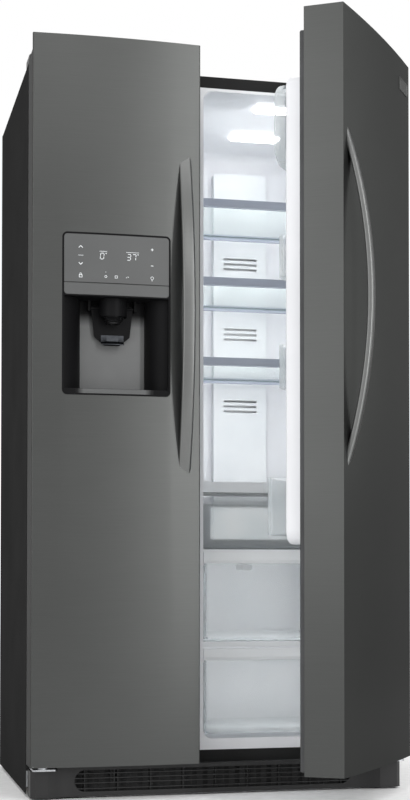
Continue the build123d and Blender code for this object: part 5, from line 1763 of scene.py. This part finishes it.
@dataclass
class FridgeDoor(Door):
    """The fresh food door with its bins and dairy lid. It rests open."""

    hinge_left: bool = False
    hinge: tuple[float, float] = (0.8228, -0.1164)
    open_degrees: float = 55.15
    width: float = 0.515
    # The trim plate: its place on the closed door, its corners, and its rings, inset and proud.
    plate_x: tuple[float, float] = (0.7550, 0.8330)
    plate_z: tuple[float, float] = (1.6960, 1.7270)
    plate_rounding: float = 0.0035
    plate_rings: tuple[tuple[float, float], ...] = (
        (0.0, -0.0004),
        (0.0, 0.0012),
        (0.0005, 0.0016),
        (0.0022, 0.0016),
        (0.0028, 0.0009),
    )
    finishes: dict[str, Finishes] = field(
        default_factory=lambda: {
            "fridge_door_skin": Finishes.DOOR_STEEL,
            "fridge_door_caps": Finishes.CHARCOAL_ABS,
            "fridge_door_foam": Finishes.FOAM,
            "fridge_door_liner": Finishes.LINER_STYRENE,
            "fridge_gasket": Finishes.SEAL,
            "fridge_door_bins": Finishes.CLEAR_BIN,
            "dairy_lid": Finishes.CLEAR_BIN,
        }
    )

    def face(self) -> DoorFace:
        """Gives the door's bowed face when closed, with the turn to its rest place.

        Returns:
            The face.
        """
        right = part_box("cabinet_shell")[1][0]
        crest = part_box("freezer_door_skin")[0][1]
        pivot = Matrix.Translation((*self.hinge, 0))
        turn = pivot @ Matrix.Rotation(math.radians(self.open_degrees), 4, "Z") @ pivot.inverted()
        return DoorFace(right - self.width, right, crest, place=turn)

    def handle(self) -> None:
        """Adds the bar handle."""
        bar = self.bar("fridge_handle_bar")
        self.add(bar, "fridge_door", Finishes.HANDLE_STEEL_PAINTED_HIGHLIGHT, "dark_steel")
        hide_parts("fridge_handle")

    def top_sheet(self) -> None:
        """Adds the white strip over the foam at the top of the door's back."""
        strip = TopSheet(self.face(), self.hinge_left).build("fridge_door_top_sheet")
        self.add(strip, "fridge_door", Finishes.LINER_STYRENE, "white_plastic")

    def plate(self) -> None:
        """Adds the bare trim plate near the door's top: a raised rim round a sunk field."""
        face = self.face()
        (left, right), (foot, top) = self.plate_x, self.plate_z
        loops = []
        for inset, proud in self.plate_rings:
            width, height = right - left - 2 * inset, top - foot - 2 * inset
            outline = rounded_outline(width, height, self.plate_rounding - inset)
            spots = [((left + right) / 2 + x, (foot + top) / 2 + z) for x, z in outline]
            loops.append([face.point(x, proud, z) for x, z in spots])
        plate = loft("door_trim_plate", loops, smooth_degrees=35.0)
        # The trim plate takes the bars' paler steel, whose paleness is painted highlight.
        self.add(plate, "fridge_door", Finishes.HANDLE_STEEL_PAINTED_HIGHLIGHT, "dark_steel")

    def build(self) -> None:
        """Adds the handle, the top strip and the trim plate."""
        self.handle()
        self.top_sheet()
        self.plate()


# ---------------------------------------------------------------- studio
@dataclass(frozen=True)
class Softbox:
    """A rectangular lamp that looks at a point."""

    name: str
    at: tuple[float, float, float]
    aim: tuple[float, float, float]
    size: tuple[float, float]
    watts: float

    def hang(self) -> bpy.types.Object:
        """Makes the lamp.

        Returns:
            The lamp, in the scene.
        """
        data = bpy.data.lights.new(self.name, "AREA")
        data.shape = "RECTANGLE"
        data.size, data.size_y = self.size
        data.energy = self.watts
        lamp = bpy.data.objects.new(self.name, data)
        lamp.location = self.at
        look = Vector(self.aim) - Vector(self.at)
        lamp.rotation_euler = look.to_track_quat("-Z", "Y").to_euler()
        bpy.context.scene.collection.objects.link(lamp)
        return lamp


@dataclass
class Studio:
    """The pale floor, soft lights, white surround and camera."""

    camera_at: tuple[float, float, float] = (-0.47394, -4.06780, 0.50610)
    yaw_degrees: float = -15.055
    pitch_degrees: float = 91.656
    roll_degrees: float = 0.053
    lens_mm: float = 76.41
    sensor_mm: float = 36.0
    shift: tuple[float, float] = (-0.1198, 0.1648)
    surround: float = 0.85
    floor_reach: float = 12.0
    lamps: tuple[Softbox, ...] = (
        Softbox("key_light", (2.2, -4.4, 1.9), (0.3, -0.1, 1.1), (0.5, 3.6), 82.0),
        Softbox("front_light", (-0.3, -4.7, 3.4), (0.2, -0.1, 1.3), (2.0, 0.9), 10.0),
        Softbox("fill_light", (-3.2, -2.7, 1.9), (0.5, 0.0, 0.9), (1.3, 3.0), 30.0),
        Softbox("side_light", (4.2, 0.6, 2.2), (0.7, -0.3, 1.2), (1.2, 2.4), 34.0),
        Softbox("top_light", (0.4, -1.4, 4.2), (0.4, 0.0, 0.9), (3.0, 2.4), 26.0),
    )
    # The compartment's lamps: how far behind the shelves' front, their size, and each one's
    # height and watts.
    inner_back: float = 0.02
    inner_size: tuple[float, float] = (0.36, 0.08)
    inner_lamps: tuple[tuple[float, float], ...] = (
        (0.23, 0.45),
        (0.46, 0.85),
        (0.65, 0.20),
        (0.89, 0.60),
        (1.15, 0.60),
        (1.35, 0.50),
        (1.57, 0.22),
    )

    def camera(self) -> None:
        """Places the camera at the viewing angle."""
        data = bpy.data.cameras.new("camera")
        data.lens = self.lens_mm
        data.sensor_width = self.sensor_mm
        data.shift_x, data.shift_y = self.shift
        eye = bpy.data.objects.new("camera", data)
        eye.location = self.camera_at
        turns = (self.pitch_degrees, self.roll_degrees, self.yaw_degrees)
        eye.rotation_euler = [math.radians(turn) for turn in turns]
        bpy.context.scene.collection.objects.link(eye)
        bpy.context.scene.camera = eye

    def world(self) -> None:
        """Makes a surround that looks white and sheds a calmer light."""
        world = bpy.data.worlds.new("surround")
        bpy.context.scene.world = world
        world.use_nodes = True
        tree = world.node_tree
        tree.nodes.clear()
        path = add_node(tree, Node.RAY).outputs
        white = (1, 1, 1, 1)
        shed = add_node(tree, Node.SKY, {"Color": white, "Strength": self.surround}).outputs[0]
        seen = add_node(tree, Node.SKY, {"Color": white, "Strength": 1.0}).outputs[0]
        plain = path["Is Camera Ray"]
        for ray in ("Is Glossy Ray", "Is Transmission Ray"):
            either = add_node(tree, Node.MATH, {"operation": "MAXIMUM"}, {0: plain, 1: path[ray]})
            plain = either.outputs[0]
        mixed = add_node(tree, Node.MIX_SKIES, links={0: plain, 1: shed, 2: seen})
        add_node(tree, Node.SKY_OUTPUT, links={"Surface": mixed.outputs[0]})

    def floor(self) -> None:
        """Lays a wide pale floor."""
        ends = ((-1, -1), (1, -1), (1, 1), (-1, 1))
        corners = [(x * self.floor_reach, y * self.floor_reach, 0) for x, y in ends]
        piece = mesh_object("studio_floor", corners, [(0, 1, 2, 3)])
        Finishes.FLOOR.value.dress(piece)

    def inner_lights(self) -> None:
        """Hangs small lamps in the open compartment that face its back, as its strips do."""
        low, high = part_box("shelf_glass")
        middle = (low[0] + high[0]) / 2
        for height, watts in self.inner_lamps:
            at, aim = (middle, low[1] + self.inner_back, height), (middle, high[1], height)
            name = f"compartment_light_{round(1000 * height)}"
            lamp = Softbox(name, at, aim, self.inner_size, watts).hang()
            lamp.visible_camera = lamp.visible_glossy = lamp.visible_transmission = False

    def build(self) -> None:
        """Sets up the whole studio."""
        self.camera()
        self.world()
        self.floor()
        for lamp in self.lamps:
            lamp.hang()
        self.inner_lights()
        bpy.context.scene.view_settings.view_transform = "Standard"


# ---------------------------------------------------------------- the whole product
def main() -> None:
    """Loads the frame, dresses and completes every sub-assembly, and sets up the studio."""
    logging.basicConfig(level=logging.INFO, format="%(name)s: %(message)s")
    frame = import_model()
    nodes = frame["nodes"]
    for piece in nodes.values():
        piece.data.set_sharp_from_angle(angle=math.radians(FRAME_SHARP_DEGREES))
    for kind in (Cabinet, Machine, FreshFood, Freezer, FreezerDoor, FridgeDoor):
        group = kind(nodes)
        group.dress()
        group.build()
    Studio().build()


if __name__ == "__main__":
    main()
